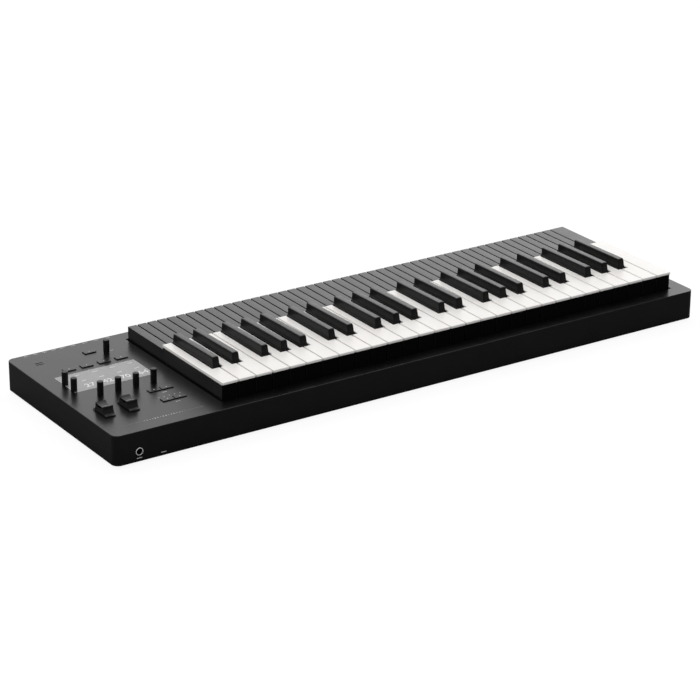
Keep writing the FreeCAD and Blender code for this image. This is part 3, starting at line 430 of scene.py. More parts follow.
def lathe(tree, curve, radius, low, high, edge, steps=6):
    """A closed body: a curve of radius 1 scaled up a line from low to high, rounded at its top edge."""
    index = add(tree, "GeometryNodeInputIndex")
    past = add(tree, MATH, {0: index, 1: 1.0}, operation="SUBTRACT")
    above = add(tree, MATH, {0: past, 1: 0.0}, operation="MAXIMUM")
    turn = add(tree, MATH, {0: above, 1: math.pi / 2 / steps}, operation="MULTIPLY")
    sine = add(tree, MATH, {0: turn}, operation="SINE")
    cosine = add(tree, MATH, {0: turn}, operation="COSINE")
    on_wall = add(tree, MATH, {0: index, 1: 1.0}, operation="MINIMUM")
    shoulder = add(tree, MATH, {0: high, 1: edge}, operation="SUBTRACT")
    wall = add(tree, MATH, {0: shoulder, 1: low}, operation="SUBTRACT")
    risen = add(tree, MATH, {0: on_wall, 1: wall, 2: low}, operation="MULTIPLY_ADD")
    z = add(tree, MATH, {0: sine, 1: edge, 2: risen}, operation="MULTIPLY_ADD")
    inner = add(tree, MATH, {0: radius, 1: edge}, operation="SUBTRACT")
    width = add(tree, MATH, {0: cosine, 1: edge, 2: inner}, operation="MULTIPLY_ADD")
    line = add(tree, "GeometryNodeMeshLine", {"Count": steps + 2})
    place = add(tree, "ShaderNodeCombineXYZ", {"Z": z})
    upright = add(tree, "GeometryNodeSetPosition", {"Geometry": line, "Position": place})
    rail = add(tree, "GeometryNodeMeshToCurve", {"Mesh": upright})
    return add(tree, "GeometryNodeCurveToMesh", {
        "Curve": rail, "Profile Curve": curve, "Scale": width, "Fill Caps": True})


def fluted_profile(tree, flutes, depth, radius):
    """A circle of radius 1 with a ring of shallow flutes, eight points to each."""
    points = add(tree, MATH, {0: flutes, 1: 8.0}, operation="MULTIPLY")
    count = add(tree, "FunctionNodeFloatToInt", {0: points})
    circle = add(tree, "GeometryNodeCurvePrimitiveCircle", {"Resolution": count, "Radius": 1.0})
    index = add(tree, "GeometryNodeInputIndex")
    turn = add(tree, MATH, {0: index, 1: math.pi / 4}, operation="MULTIPLY")
    wave = add(tree, MATH, {0: turn}, operation="COSINE")
    half = add(tree, MATH, {0: depth, 1: radius}, operation="DIVIDE")
    cut = add(tree, MATH, {0: half, 1: 0.5}, operation="MULTIPLY")
    swing = add(tree, MATH, {0: wave, 1: cut, 2: cut}, operation="MULTIPLY_ADD")
    left = add(tree, MATH, {0: 1.0, 1: swing}, operation="SUBTRACT")
    place = add(tree, "GeometryNodeInputPosition")
    moved = add(tree, "ShaderNodeVectorMath", {0: place, "Scale": left}, operation="SCALE")
    return add(tree, "GeometryNodeSetPosition", {"Geometry": circle, "Position": moved})


def fluted_knob_tree():
    """A slim knob with flutes, a spun top and its shaft, at each point of the input."""
    tree, sizes = new_tree("Fluted knob", {
        "Radius": "Float", "Low": "Float", "High": "Float", "Edge": "Float", "Flutes": "Int",
        "Flute depth": "Float", "Shaft radius": "Float", "Shaft low": "Float", "Finish": "Material",
        "Top finish": "Material", "Shaft finish": "Material"})
    circle = add(tree, "GeometryNodeCurvePrimitiveCircle", {"Resolution": 48, "Radius": 1.0})
    flutes = fluted_profile(tree, sizes["Flutes"], sizes["Flute depth"], sizes["Radius"])
    disc_radius = add(tree, MATH, {0: sizes["Radius"], 1: 0.8}, operation="MULTIPLY")
    disc_low = add(tree, MATH, {0: sizes["High"], 1: sizes["Edge"]}, operation="SUBTRACT")
    disc_high = add(tree, MATH, {0: sizes["High"], 1: SPUN_DISC_HEIGHT}, operation="ADD")
    grip = lathe(tree, flutes, sizes["Radius"], sizes["Low"], sizes["High"], sizes["Edge"])
    disc = lathe(tree, circle, disc_radius, disc_low, disc_high, 0.06 * MM, 3)
    shaft = lathe(tree, circle, sizes["Shaft radius"], sizes["Shaft low"], sizes["Low"], 0.1 * MM, 2)
    whole = add(tree, "GeometryNodeJoinGeometry")
    for shape, finish in ((shaft, "Shaft finish"), (disc, "Top finish"), (grip, "Finish")):
        painted = add(tree, "GeometryNodeSetMaterial", {"Geometry": shape, "Material": sizes[finish]})
        tree.links.new(painted.outputs[0], whole.inputs[0])
    return close_tree(tree, sizes["Geometry"], whole)


def rubber_foot_tree():
    """A round foot, widest at the case and rounded where it meets the desk, at each point of the input."""
    tree, sizes = new_tree("Rubber foot", {
        "Radius": "Float", "Height": "Float", "Edge": "Float", "Finish": "Material"})
    circle = add(tree, "GeometryNodeCurvePrimitiveCircle", {"Resolution": 64, "Radius": 1.0})
    foot = lathe(tree, circle, sizes["Radius"], 0.0, sizes["Height"], sizes["Edge"])
    lift = add(tree, "ShaderNodeCombineXYZ", {"Z": sizes["Height"]})
    turned = add(tree, "GeometryNodeTransform", {
        "Geometry": foot, "Rotation": (math.pi, 0.0, 0.0), "Translation": lift})
    return close_tree(tree, sizes["Geometry"], turned, sizes["Finish"])


def cross_screw_tree():
    """A pan-head screw with a cross recess, head downwards, at each point of the input."""
    tree, sizes = new_tree("Cross-recess screw", {
        "Head radius": "Float", "Head height": "Float", "Shank radius": "Float", "Shank length": "Float",
        "Finish": "Material"})
    circle = add(tree, "GeometryNodeCurvePrimitiveCircle", {"Resolution": 40, "Radius": 1.0})
    dome = add(tree, MATH, {0: sizes["Head height"], 1: 0.6}, operation="MULTIPLY")
    head = lathe(tree, circle, sizes["Head radius"], 0.0, sizes["Head height"], dome)
    long_side = add(tree, MATH, {0: sizes["Head radius"], 1: 1.1}, operation="MULTIPLY")
    short_side = add(tree, MATH, {0: sizes["Head radius"], 1: 0.28}, operation="MULTIPLY")
    up = add(tree, "ShaderNodeCombineXYZ", {"Z": sizes["Head height"]})
    bars = add(tree, "GeometryNodeJoinGeometry")
    for first, second in ((long_side, short_side), (short_side, long_side)):
        size = add(tree, "ShaderNodeCombineXYZ", {"X": first, "Y": second, "Z": sizes["Head height"]})
        bar = add(tree, "GeometryNodeMeshCube", {"Size": size})
        raised = add(tree, "GeometryNodeTransform", {"Geometry": bar, "Translation": up})
        tree.links.new(raised.outputs[0], bars.inputs[0])
    cut = add(tree, "GeometryNodeMeshBoolean", {"Mesh 1": head, "Mesh 2": bars}, operation="DIFFERENCE")
    turned = add(tree, "GeometryNodeTransform", {"Geometry": cut, "Rotation": (math.pi, 0.0, 0.0)})
    shank = lathe(tree, circle, sizes["Shank radius"], 0.0, sizes["Shank length"], 0.3 * MM, 3)
    whole = add(tree, "GeometryNodeJoinGeometry")
    for shape in (shank, turned):
        tree.links.new(shape.outputs[0], whole.inputs[0])
    return close_tree(tree, sizes["Geometry"], whole, sizes["Finish"])


def row_of_copies_tree():
    """Copies of the input mesh in a row, such as one octave after another, with a finish of their own on top."""
    tree, sizes = new_tree("Row of copies", {
        "Count": "Int", "Step": "Vector", "Finish": "Material", "Top finish": "Material"})
    line = add(tree, "GeometryNodeMeshLine", {"Count": sizes["Count"], "Offset": sizes["Step"]})
    placed = add(tree, "GeometryNodeInstanceOnPoints", {"Points": line, "Instance": sizes["Geometry"]})
    real = add(tree, "GeometryNodeRealizeInstances", {"Geometry": placed})
    painted = add(tree, "GeometryNodeSetMaterial", {"Geometry": real, "Material": sizes["Finish"]})
    facing = add(tree, "ShaderNodeSeparateXYZ", {0: add(tree, "GeometryNodeInputNormal")})
    upward = add(tree, MATH, {0: facing.outputs["Z"], 1: 0.6}, operation="GREATER_THAN")
    topped = add(tree, "GeometryNodeSetMaterial", {
        "Geometry": painted, "Selection": upward, "Material": sizes["Top finish"]})
    add(tree, "NodeGroupOutput", {"Geometry": topped})
    return tree


def printed_word_tree():
    """A short row of small printed blocks that stands for a word, centred on each point of the input."""
    tree, sizes = new_tree("Printed blocks", {
        "Blocks": "Int", "Step": "Vector", "Block": "Vector", "Finish": "Material"})
    back = add(tree, MATH, {0: sizes["Blocks"], 1: -0.5, 2: 0.5}, operation="MULTIPLY_ADD")
    start = add(tree, "ShaderNodeVectorMath", {0: sizes["Step"], "Scale": back}, operation="SCALE")
    line = add(tree, "GeometryNodeMeshLine", {
        "Count": sizes["Blocks"], "Start Location": start, "Offset": sizes["Step"]})
    block = add(tree, "GeometryNodeMeshCube", {"Size": sizes["Block"]})
    row = add(tree, "GeometryNodeInstanceOnPoints", {"Points": line, "Instance": block})
    return close_tree(tree, sizes["Geometry"], row, sizes["Finish"])


def lamp_lens_tree():
    """A small domed lens at each point of the input."""
    tree, sizes = new_tree("Lamp lens", {"Radius": "Float", "Height": "Float", "Finish": "Material"})
    circle = add(tree, "GeometryNodeCurvePrimitiveCircle", {"Resolution": 20, "Radius": 1.0})
    dome = lathe(tree, circle, sizes["Radius"], -0.4 * MM, sizes["Height"], sizes["Height"], 4)
    return close_tree(tree, sizes["Geometry"], dome, sizes["Finish"])


def ring_nut_tree():
    """A round nut with a hole, lying on its back, that stands out from each point of the input."""
    tree, sizes = new_tree("Ring nut", {
        "Outer": "Float", "Inner": "Float", "Proud": "Float", "Ridges": "Int", "Ridge depth": "Float",
        "Lean": "Vector", "Finish": "Material"})
    teeth = fluted_profile(tree, sizes["Ridges"], sizes["Ridge depth"], sizes["Outer"])
    edge = add(tree, MATH, {0: sizes["Proud"], 1: 0.5}, operation="MULTIPLY")
    body = lathe(tree, teeth, sizes["Outer"], -0.3 * MM, sizes["Proud"], edge, 4)
    hole = add(tree, "GeometryNodeMeshCylinder", {
        "Vertices": 48, "Radius": sizes["Inner"], "Depth": 10 * MM})
    ring = add(tree, "GeometryNodeMeshBoolean", {"Mesh 1": body, "Mesh 2": hole}, operation="DIFFERENCE")
    turned = add(tree, "GeometryNodeTransform", {"Geometry": ring, "Rotation": sizes["Lean"]})
    return close_tree(tree, sizes["Geometry"], turned, sizes["Finish"])


def grown(name, tree, source, inputs):
    """The plain mesh that a tree makes from points or from a mesh."""
    seed = source
    if not isinstance(source, bpy.types.Mesh):
        seed = bpy.data.meshes.new(name + "_points")
        seed.from_pydata([tuple(point) for point in source], [], [])
    carrier = bpy.data.objects.new(name + "_maker", seed)
    bpy.context.scene.collection.objects.link(carrier)
    modifier = carrier.modifiers.new("Maker", "NODES")
    modifier.node_group = tree
    sockets = {item.name: item.identifier for item in tree.interface.items_tree
               if item.item_type == "SOCKET" and item.in_out == "INPUT"}
    for label, value in inputs.items():
        modifier[sockets[label]] = value
    depsgraph = bpy.context.evaluated_depsgraph_get()
    mesh = bpy.data.meshes.new_from_object(carrier.evaluated_get(depsgraph), depsgraph=depsgraph)
    mesh.name = name
    bpy.data.objects.remove(carrier)
    return mesh


# ---- sizes and colours that a user may change ----
class SynthKeySizes(bpy.types.PropertyGroup):
    white_edge: bpy.props.FloatProperty(
        name="White key edge", description="Radius of a white key's top edges", default=0.8 * MM, unit="LENGTH")
    lever_edge: bpy.props.FloatProperty(
        name="Lever edge", description="Radius of a key lever's edges", default=0.4 * MM, unit="LENGTH")
    black_shoulder: bpy.props.FloatProperty(
        name="Black key shoulder", description="Radius of a black key's top edges", default=1.2 * MM, unit="LENGTH")
    black_top: bpy.props.FloatProperty(
        name="Black key top", description="Width of a black key's top", default=8.4 * MM, unit="LENGTH")
    # The joint is drawn as a thin strip of painted shade.
    joint_shade_width: bpy.props.FloatProperty(
        name="Lever joint", description="Width of the joint in the side of a white key's lever",
        default=0.35 * MM, unit="LENGTH")
    black_slope: bpy.props.FloatProperty(
        name="Black key slope", description="How far a black key's front leans back",
        default=5.0 * MM, unit="LENGTH")
    front_rise: bpy.props.FloatProperty(
        name="Black key front", description="Height of a black key over the white ones at its front",
        default=12.0 * MM, unit="LENGTH")
    rear_rise: bpy.props.FloatProperty(
        name="Black key rear", description="Height of a black key over the white ones at its rear",
        default=10.5 * MM, unit="LENGTH")


class SynthPanelSizes(bpy.types.PropertyGroup):
    flutes: bpy.props.IntProperty(name="Flutes", description="Flutes round each knob", default=24, min=8)
    flute_depth: bpy.props.FloatProperty(
        name="Flute depth", description="Depth of a knob's flutes", default=0.18 * MM, unit="LENGTH")
    button_edge: bpy.props.FloatProperty(
        name="Button edge", description="Radius of a button's top edges", default=0.35 * MM, unit="LENGTH")
    slider_edge: bpy.props.FloatProperty(
        name="Slider edge", description="Radius of a slider's side edges", default=0.6 * MM, unit="LENGTH")
    slider_dish: bpy.props.FloatProperty(
        name="Slider dish", description="Depth of the hollow in a slider's top", default=3.0 * MM, unit="LENGTH")
    ink_height: bpy.props.FloatProperty(
        name="Ink height", description="How far printed marks stand up", default=0.04 * MM, unit="LENGTH")
    digit_height: bpy.props.FloatProperty(
        name="Digit height", description="Height of the numbers on the display", default=9.5 * MM, unit="LENGTH")
    lens_radius: bpy.props.FloatProperty(
        name="Lamp lens radius", description="Radius of the five small lamps", default=0.55 * MM, unit="LENGTH")
    nut_proud: bpy.props.FloatProperty(
        name="Socket nut height", description="How far the socket nuts stand out", default=0.6 * MM, unit="LENGTH")


class SynthStageSizes(bpy.types.PropertyGroup):
    lens: bpy.props.FloatProperty(
        name="Lens", description="Focal length on a 36 mm sensor, in millimetres", default=134.37)
    floor_colour: bpy.props.FloatVectorProperty(
        name="Floor", description="Colour of the paper on the floor", subtype="COLOR", size=3,
        default=linear("#606060")[:3])
    floor_lift: bpy.props.FloatProperty(
        name="Floor lift", description="How much whiter the floor looks to the camera than to the object",
        default=0.91)
    fill: bpy.props.FloatProperty(
        name="Fill", description="Strength of the light from all round", default=1.0)
    backdrop_dim: bpy.props.FloatProperty(
        name="Backdrop, dim side", description="Brightness of the backdrop high up and to the left", default=0.9)
    backdrop_bright: bpy.props.FloatProperty(
        name="Backdrop, bright side", description="Brightness of the backdrop low down and to the right",
        default=2.5)
    player_side: bpy.props.FloatProperty(
        name="Player's side", description="Brightness of the room on the player's side, as a share of the backdrop",
        default=0.15)
    overhead: bpy.props.FloatProperty(
        name="Overhead lamp", description="Power of the soft lamp above, in watts", default=18.0)


# ---- keys ----
def cap_faces(node, split):
    """The part of a key node that stands above its lever."""
    def wanted(face):
        heights = [vert.co.z for vert in face.verts]
        if max(heights) > split + HAIR:
            return min(heights) > split - HAIR
        return min(heights) > split - HAIR and face.normal.z < 0
    return keep_faces(cad_copy(node), wanted)


def lever_faces(node, split):
    """The part of a key node that lies below its cap."""
    def wanted(face):
        heights = [vert.co.z for vert in face.verts]
        if min(heights) < split - HAIR:
            return True
        return max(heights) < split + HAIR and face.normal.z > 0
    return keep_faces(cad_copy(node), wanted)


class SYNTH_OT_white_keys(bpy.types.Operator):
    """Makes the white playing surfaces, one piece for each note name"""
    bl_idname = "synth.white_keys"
    bl_label = "White keys"

    def execute(self, context):
        sizes = context.scene.synth_keys
        for note in WHITE_NOTES:
            node = "keys_" + note
            low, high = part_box(node)
            bm = weld(cap_faces(node, high.z - CAP_THICKNESS))
            front, top = low.y + HAIR, high.z - HAIR
            round_edges(bm, lambda e: is_corner(e) and (
                both(e, lambda p: p.z > top) or both(e, lambda p: p.y < front)), sizes.white_edge / MM)
            piece("white_caps_" + note, bm, ["white_key"], note + "_keys", [node])
        return {"FINISHED"}


class SYNTH_OT_key_levers(bpy.types.Operator):
    """Makes the long levers under and behind the playing surfaces"""
    bl_idname = "synth.key_levers"
    bl_label = "Key levers"

    def execute(self, context):
        sizes = context.scene.synth_keys
        tail_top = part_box("keys_c")[1].z - TAIL_DROP
        for note in WHITE_NOTES + BLACK_NOTES:
            node = "keys_" + note
            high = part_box(node)[1]
            white = note in WHITE_NOTES
            bm = weld(lever_faces(node, high.z - CAP_THICKNESS if white else tail_top))
            rear = high.y - HAIR
            front = min(vert.co.y for vert in bm.verts) + HAIR
            sides = self.joint_places(bm, tail_top) if white else []
            round_edges(bm, lambda e: is_corner(e, 60) and (
                both(e, lambda p: p.z > tail_top - HAIR) or both(e, lambda p: p.y > rear)
                or both(e, lambda p: p.y < front)), sizes.lever_edge / MM, 2)
            # Painted shade: the lever's front faces take the near-black joint finish, for the shade they sit in.
            for face in bm.faces:
                if face.normal.y < -0.9 and face.calc_center_median().y < front:
                    face.material_index = 1
            # Painted shade: a thin near-black strip on each side of a white key's tail, where the open joint's gap
            # lies in shade.
            for x in sides:
                half = Vector((SEAM_HALF_THICK, sizes.joint_shade_width / 2, 0.0))
                box_into(bm, Vector((x, LEVER_SEAM_Y, tail_top - 15 * MM)) - half,
                         Vector((x, LEVER_SEAM_Y, tail_top - 0.5 * MM)) + half, 0.0, 1)
            piece("key_levers_" + note, bm, ["lever", "joint"], note + "_keys")
        return {"FINISHED"}

    def joint_places(self, bm, tail_top):
        """Where the upright sides of the tails are, from left to right. A head's sides end in front of the seam."""
        found = set()
        for face in bm.faces:
            depths = [vert.co.y for vert in face.verts]
            if (abs(face.normal.x) > 0.99 and face.calc_area() > 400 * MM * MM
                    and max(vert.co.z for vert in face.verts) > tail_top - HAIR
                    and min(depths) < LEVER_SEAM_Y < max(depths)):
                found.add(round(face.calc_center_median().x / MM, 2))
        return [x * MM for x in sorted(found)]


class SYNTH_OT_black_keys(bpy.types.Operator):
    """Makes the black playing surfaces, copied from octave to octave"""
    bl_idname = "synth.black_keys"
    bl_label = "Black keys"

    def execute(self, context):
        sizes = context.scene.synth_keys
        white_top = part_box("keys_c")[1].z
        tree = row_of_copies_tree()
        for note in BLACK_NOTES:
            node = "keys_" + note
            low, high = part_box(node)
            bm = bmesh.new()
            self.cap(bm, sizes, low.x + BLACK_WIDTH / 2, low.y, white_top)
            source = bpy.data.meshes.new("one_black_cap")
            bm.to_mesh(source)
            bm.free()
            # The upward faces of each copy take the black_top finish: a painted highlight on the top of the key.
            mesh = grown("black_caps_" + note, tree, source, {
                "Count": 4, "Step": ((high.x - low.x - BLACK_WIDTH) / 3, 0.0, 0.0),
                "Finish": FINISH["black_key"], "Top finish": FINISH["black_top"]})
            piece_of_mesh("black_caps_" + note, mesh, [], note + "_keys", [node])
        return {"FINISHED"}

    def cap(self, bm, sizes, middle, front, base):
        """One black cap: a skirt beside the white keys, a foot that flares, and a crown with soft edges."""
        rear, half, top = front + BLACK_LENGTH, BLACK_WIDTH / 2, sizes.black_top / 2
        flare, soft = half - top, sizes.black_shoulder
        # Each level: share of the crown's height, height added, half width, lean of the front, lean of the rear.
        levels = (
            (0, -TAIL_DROP, half, 0.0, 0.0),
            (0, 0.0, half, 0.0, 0.0),
            (0, 0.5 * MM, half - 0.3 * flare, 0.10 * sizes.black_slope, 0.0),
            (0, 1.4 * MM, half - 0.6 * flare, 0.19 * sizes.black_slope, 0.0),
            (0, 3.0 * MM, half - 0.75 * flare, 0.26 * sizes.black_slope, 0.0),
            (1, -1.9 * soft, top + 0.1 * flare, 0.52 * sizes.black_slope, 0.0),
            (1, -0.8 * soft, top, 0.66 * sizes.black_slope, 0.0),
            (1, -0.25 * soft, top - 0.3 * soft, 0.80 * sizes.black_slope, 0.15 * soft),
            (1, 0.0, top - 0.85 * soft, sizes.black_slope, 0.5 * soft),
        )
        rings = []
        for share, added, wide, lean, back in levels:
            ring = []
            for x, y in self.outline(wide, front + lean, rear - back, 1.2 * MM):
                along = (rear - y) / (rear - front - sizes.black_slope)
                rise = sizes.rear_rise + (sizes.front_rise - sizes.rear_rise) * min(along, 1.0)
                ring.append(bm.verts.new((middle + x, y, base + share * rise + added)))
            rings.append(ring)
        count = len(rings[0])
        bm.faces.new(list(reversed(rings[0])))
        bm.faces.new(rings[-1])
        for lower, upper in zip(rings, rings[1:]):
            for i in range(count):
                j = (i + 1) % count
                bm.faces.new([lower[i], lower[j], upper[j], upper[i]])
        bmesh.ops.recalc_face_normals(bm, faces=bm.faces)

    def outline(self, wide, front, rear, corner):
        """The plan of one level, with both front corners rounded."""
        points = [(-wide, rear)]
        for side, turns in ((-1, (0, 1, 2, 3)), (1, (3, 2, 1, 0))):
            for turn in turns:
                angle = turn * math.pi / 6
                points.append((side * (wide - corner + corner * math.cos(angle)),
                               front + corner - corner * math.sin(angle)))
        return points + [(wide, rear)]


# ---- case ----
class SYNTH_OT_case(bpy.types.Operator):
    """Makes the rubber feet and the screws"""
    bl_idname = "synth.case"
    bl_label = "Case, feet and screws"

    def execute(self, context):
        feet = solids_of("rubber_feet")
        tall = feet[0][1].z - feet[0][0].z
        places = [((a.x + b.x) / 2, (a.y + b.y) / 2, a.z) for a, b in feet]
        mesh = grown("rubber_feet_detailed", rubber_foot_tree(), places, {
            "Radius": (feet[0][1].x - feet[0][0].x) / 2, "Height": tall, "Edge": 0.8 * MM,
            "Finish": FINISH["rubber"]})
        piece_of_mesh("rubber_feet_detailed", mesh, [], "case", ["rubber_feet"])
        tree = cross_screw_tree()
        screws = solids_of("screws")
        for label, deep in (("case_screws", True), ("board_screws", False)):
            chosen = [(a, b) for a, b in screws if (b.z - a.z > CASE_SCREW_LENGTH) == deep]
            head = SCREW_HEAD_HEIGHT
            mesh = grown(label, tree, [((a.x + b.x) / 2, (a.y + b.y) / 2, a.z + head) for a, b in chosen], {
                "Head radius": SCREW_HEAD_RADIUS, "Head height": head, "Shank radius": SCREW_SHANK_RADIUS,
                "Shank length": chosen[0][1].z - chosen[0][0].z - head, "Finish": FINISH["screw_steel"]})
            piece_of_mesh(label, mesh, [], "case", ["screws"] if deep else [])
        return {"FINISHED"}


# ---- controls ----
class SYNTH_OT_knobs(bpy.types.Operator):
    """Makes the seven fluted knobs"""
    bl_idname = "synth.knobs"
    bl_label = "Knobs"

    def execute(self, context):
        sizes = context.scene.synth_panel
        tree = fluted_knob_tree()
        for name in KNOBS:
            low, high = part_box(name)
            mesh = grown(name + "_fluted", tree, [((low.x + high.x) / 2, (low.y + high.y) / 2, 0.0)], {
                "Radius": (high.x - low.x) / 2, "Low": PANEL_Z + KNOB_LIFT, "High": high.z - SPUN_DISC_HEIGHT,
                "Edge": KNOB_EDGE, "Flutes": sizes.flutes, "Flute depth": sizes.flute_depth,
                "Shaft radius": KNOB_SHAFT_RADIUS, "Shaft low": low.z, "Finish": FINISH["knob"],
                "Top finish": FINISH["knob_top"], "Shaft finish": FINISH["rail"]})
            piece_of_mesh(name + "_fluted", mesh, [], name, [name])
        return {"FINISHED"}


class SYNTH_OT_buttons(bpy.types.Operator):
    """Makes the nine flat buttons with a printed mark on each"""
    bl_idname = "synth.buttons"
    bl_label = "Buttons"

    def execute(self, context):
        sizes = context.scene.synth_panel
        for name in BUTTONS:
            low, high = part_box(name)
            bm = weld(cad_copy(name))
            top = high.z - HAIR
            round_edges(bm, lambda e: is_corner(e, 60) and any(v.co.z > top for v in e.verts),
                        sizes.button_edge / MM)
            x, y = (low.x + high.x) / 2, (low.y + high.y) / 2
            box_into(bm, Vector((x - BUTTON_MARK_HALF, y - BUTTON_MARK_HALF, top)),
                     Vector((x + BUTTON_MARK_HALF, y + BUTTON_MARK_HALF, high.z + sizes.ink_height)), 0.0, 1)
            piece(name + "_marked", bm, ["button", "white_ink"], name, [name])
        low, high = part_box("power_button")
        bm = weld(cad_copy("power_button"))
        rear = high.y - HAIR
        round_edges(bm, lambda e: is_corner(e, 60) and any(v.co.y > rear for v in e.verts),
                    sizes.button_edge / MM)
        x, z = (low.x + high.x) / 2, (low.z + high.z) / 2
        box_into(bm, Vector((x - POWER_MARK_HALF_WIDTH, rear, z - POWER_MARK_HALF_HEIGHT)),
                 Vector((x + POWER_MARK_HALF_WIDTH, high.y + sizes.ink_height, z + POWER_MARK_HALF_HEIGHT)),
                 0.0, 1)
        piece("power_button_marked", bm, ["button", "white_ink"], "power_button", ["power_button"])
        return {"FINISHED"}


class SYNTH_OT_sliders(bpy.types.Operator):
    """Makes the bend and modulation sliders with their dished tops"""
    bl_idname = "synth.sliders"
    bl_label = "Sliders"

    def execute(self, context):
        sizes = context.scene.synth_panel
        for name in SLIDERS:
            low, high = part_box(name)
            middle = (low.y + high.y) / 2
            bm = bmesh.new()
            outline = self.outline(sizes, middle, PANEL_Z + KNOB_LIFT, high.z, high.y - low.y)
            face = bm.faces.new([bm.verts.new((low.x, y, z)) for y, z in outline])
            made = bmesh.ops.extrude_face_region(bm, geom=[face])["geom"]
            moved = [item for item in made if isinstance(item, bmesh.types.BMVert)]
            bmesh.ops.translate(bm, verts=moved, vec=(high.x - low.x, 0, 0))
            bmesh.ops.recalc_face_normals(bm, faces=bm.faces)
            side = lambda e: (both(e, lambda p: p.x < low.x + 1e-6) or both(e, lambda p: p.x > high.x - 1e-6))
            round_edges(bm, side, sizes.slider_edge / MM)
            x = (low.x + high.x) / 2
            box_into(bm, Vector((x - 1.2 * MM, middle - 2.5 * MM, low.z)),
                     Vector((x + 1.2 * MM, middle + 2.5 * MM, PANEL_Z + 0.8 * MM)))
            dip = high.z - sizes.slider_dish
            box_into(bm, Vector((x - 3.2 * MM, middle - 0.35 * MM, dip - 0.3 * MM)),
                     Vector((x + 3.2 * MM, middle + 0.35 * MM, dip + sizes.ink_height)), 0.0, 1)
            piece(name + "_cap", bm, ["slider", "ink"], name, [name])
        return {"FINISHED"}

    def outline(self, sizes, middle, bottom, top, length):
        """The side view: a thin foot with pointed ends, hollow flanks and a dished top."""
        half_foot, half_top = length / 2, SLIDER_TOP_HALF_LENGTH
        foot = bottom + 0.9 * MM
        flank, dish = [], []
        for i in range(13):
            t = i / 12
            y = half_foot + (half_top - half_foot) * (1 - (1 - t) ** 2.2)
            z = foot + (top - 0.5 * MM - foot) * t ** 1.9
            flank.append((y, z))
        for i in range(17):
            t = -1 + i / 8
            dish.append((t * (half_top - 0.5 * MM), top - sizes.slider_dish * (1 - t * t)))
        points = [(-half_foot, bottom)]
        points += [(-y, z) for y, z in flank]
        points += dish
        points += [(y, z) for y, z in reversed(flank)]
        points += [(half_foot, bottom)]
        return [(middle + y, z) for y, z in points]


class SYNTH_OT_display(bpy.types.Operator):
    """Makes the display window, with numbers and short lines over the row of knobs, and a pale strip of painted
    highlight round its rim
    """
    bl_idname = "synth.display"
    bl_label = "Display"

    def execute(self, context):
        sizes = context.scene.synth_panel
        low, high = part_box("display_window")
        bm = weld(cad_copy("display_window"))
        top = high.z - HAIR
        round_edges(bm, lambda e: is_corner(e, 60) and both(e, lambda p: p.z > top), 0.25, 2)
        piece("display_window_lens", bm, ["screen"], "case", ["display_window"])
        bm = bmesh.new()
        lines = []
        for name, value in zip(ROW_KNOBS, ("27", "42", "70", "64")):
            a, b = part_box(name)
            x = (a.x + b.x) / 2 + DIGITS_RIGHT_OF_KNOB
            number_into(bm, value, Vector((x, low.y + DIGITS_UP, high.z)), sizes.digit_height)
            lines += [(x, low.y + up, high.z) for up in LINES_UP]
        # Painted highlight: four thin pale strips along the window's edges, for the light caught on its rim.
        edge = DISPLAY_RIM_HIGHLIGHT
        for a, b in (((low.x, low.y), (high.x, low.y + edge)), ((low.x, low.y), (low.x + edge, high.y)),
                     ((low.x, high.y - edge), (high.x, high.y)), ((high.x - edge, low.y), (high.x, high.y))):
            box_into(bm, Vector((*a, top)), Vector((*b, high.z + 0.02 * MM)))
        piece("display_numbers_and_rim_highlight", bm, ["lit_cells"], "case")
        mesh = grown("display_lines", printed_word_tree(), lines, {
            "Blocks": 4, "Step": (1.6 * MM, 0.0, 0.0), "Block": (1.1 * MM, 1.5 * MM, sizes.ink_height),
            "Finish": FINISH["lit_cells"]})
        piece_of_mesh("display_lines", mesh, [], "case")
        return {"FINISHED"}


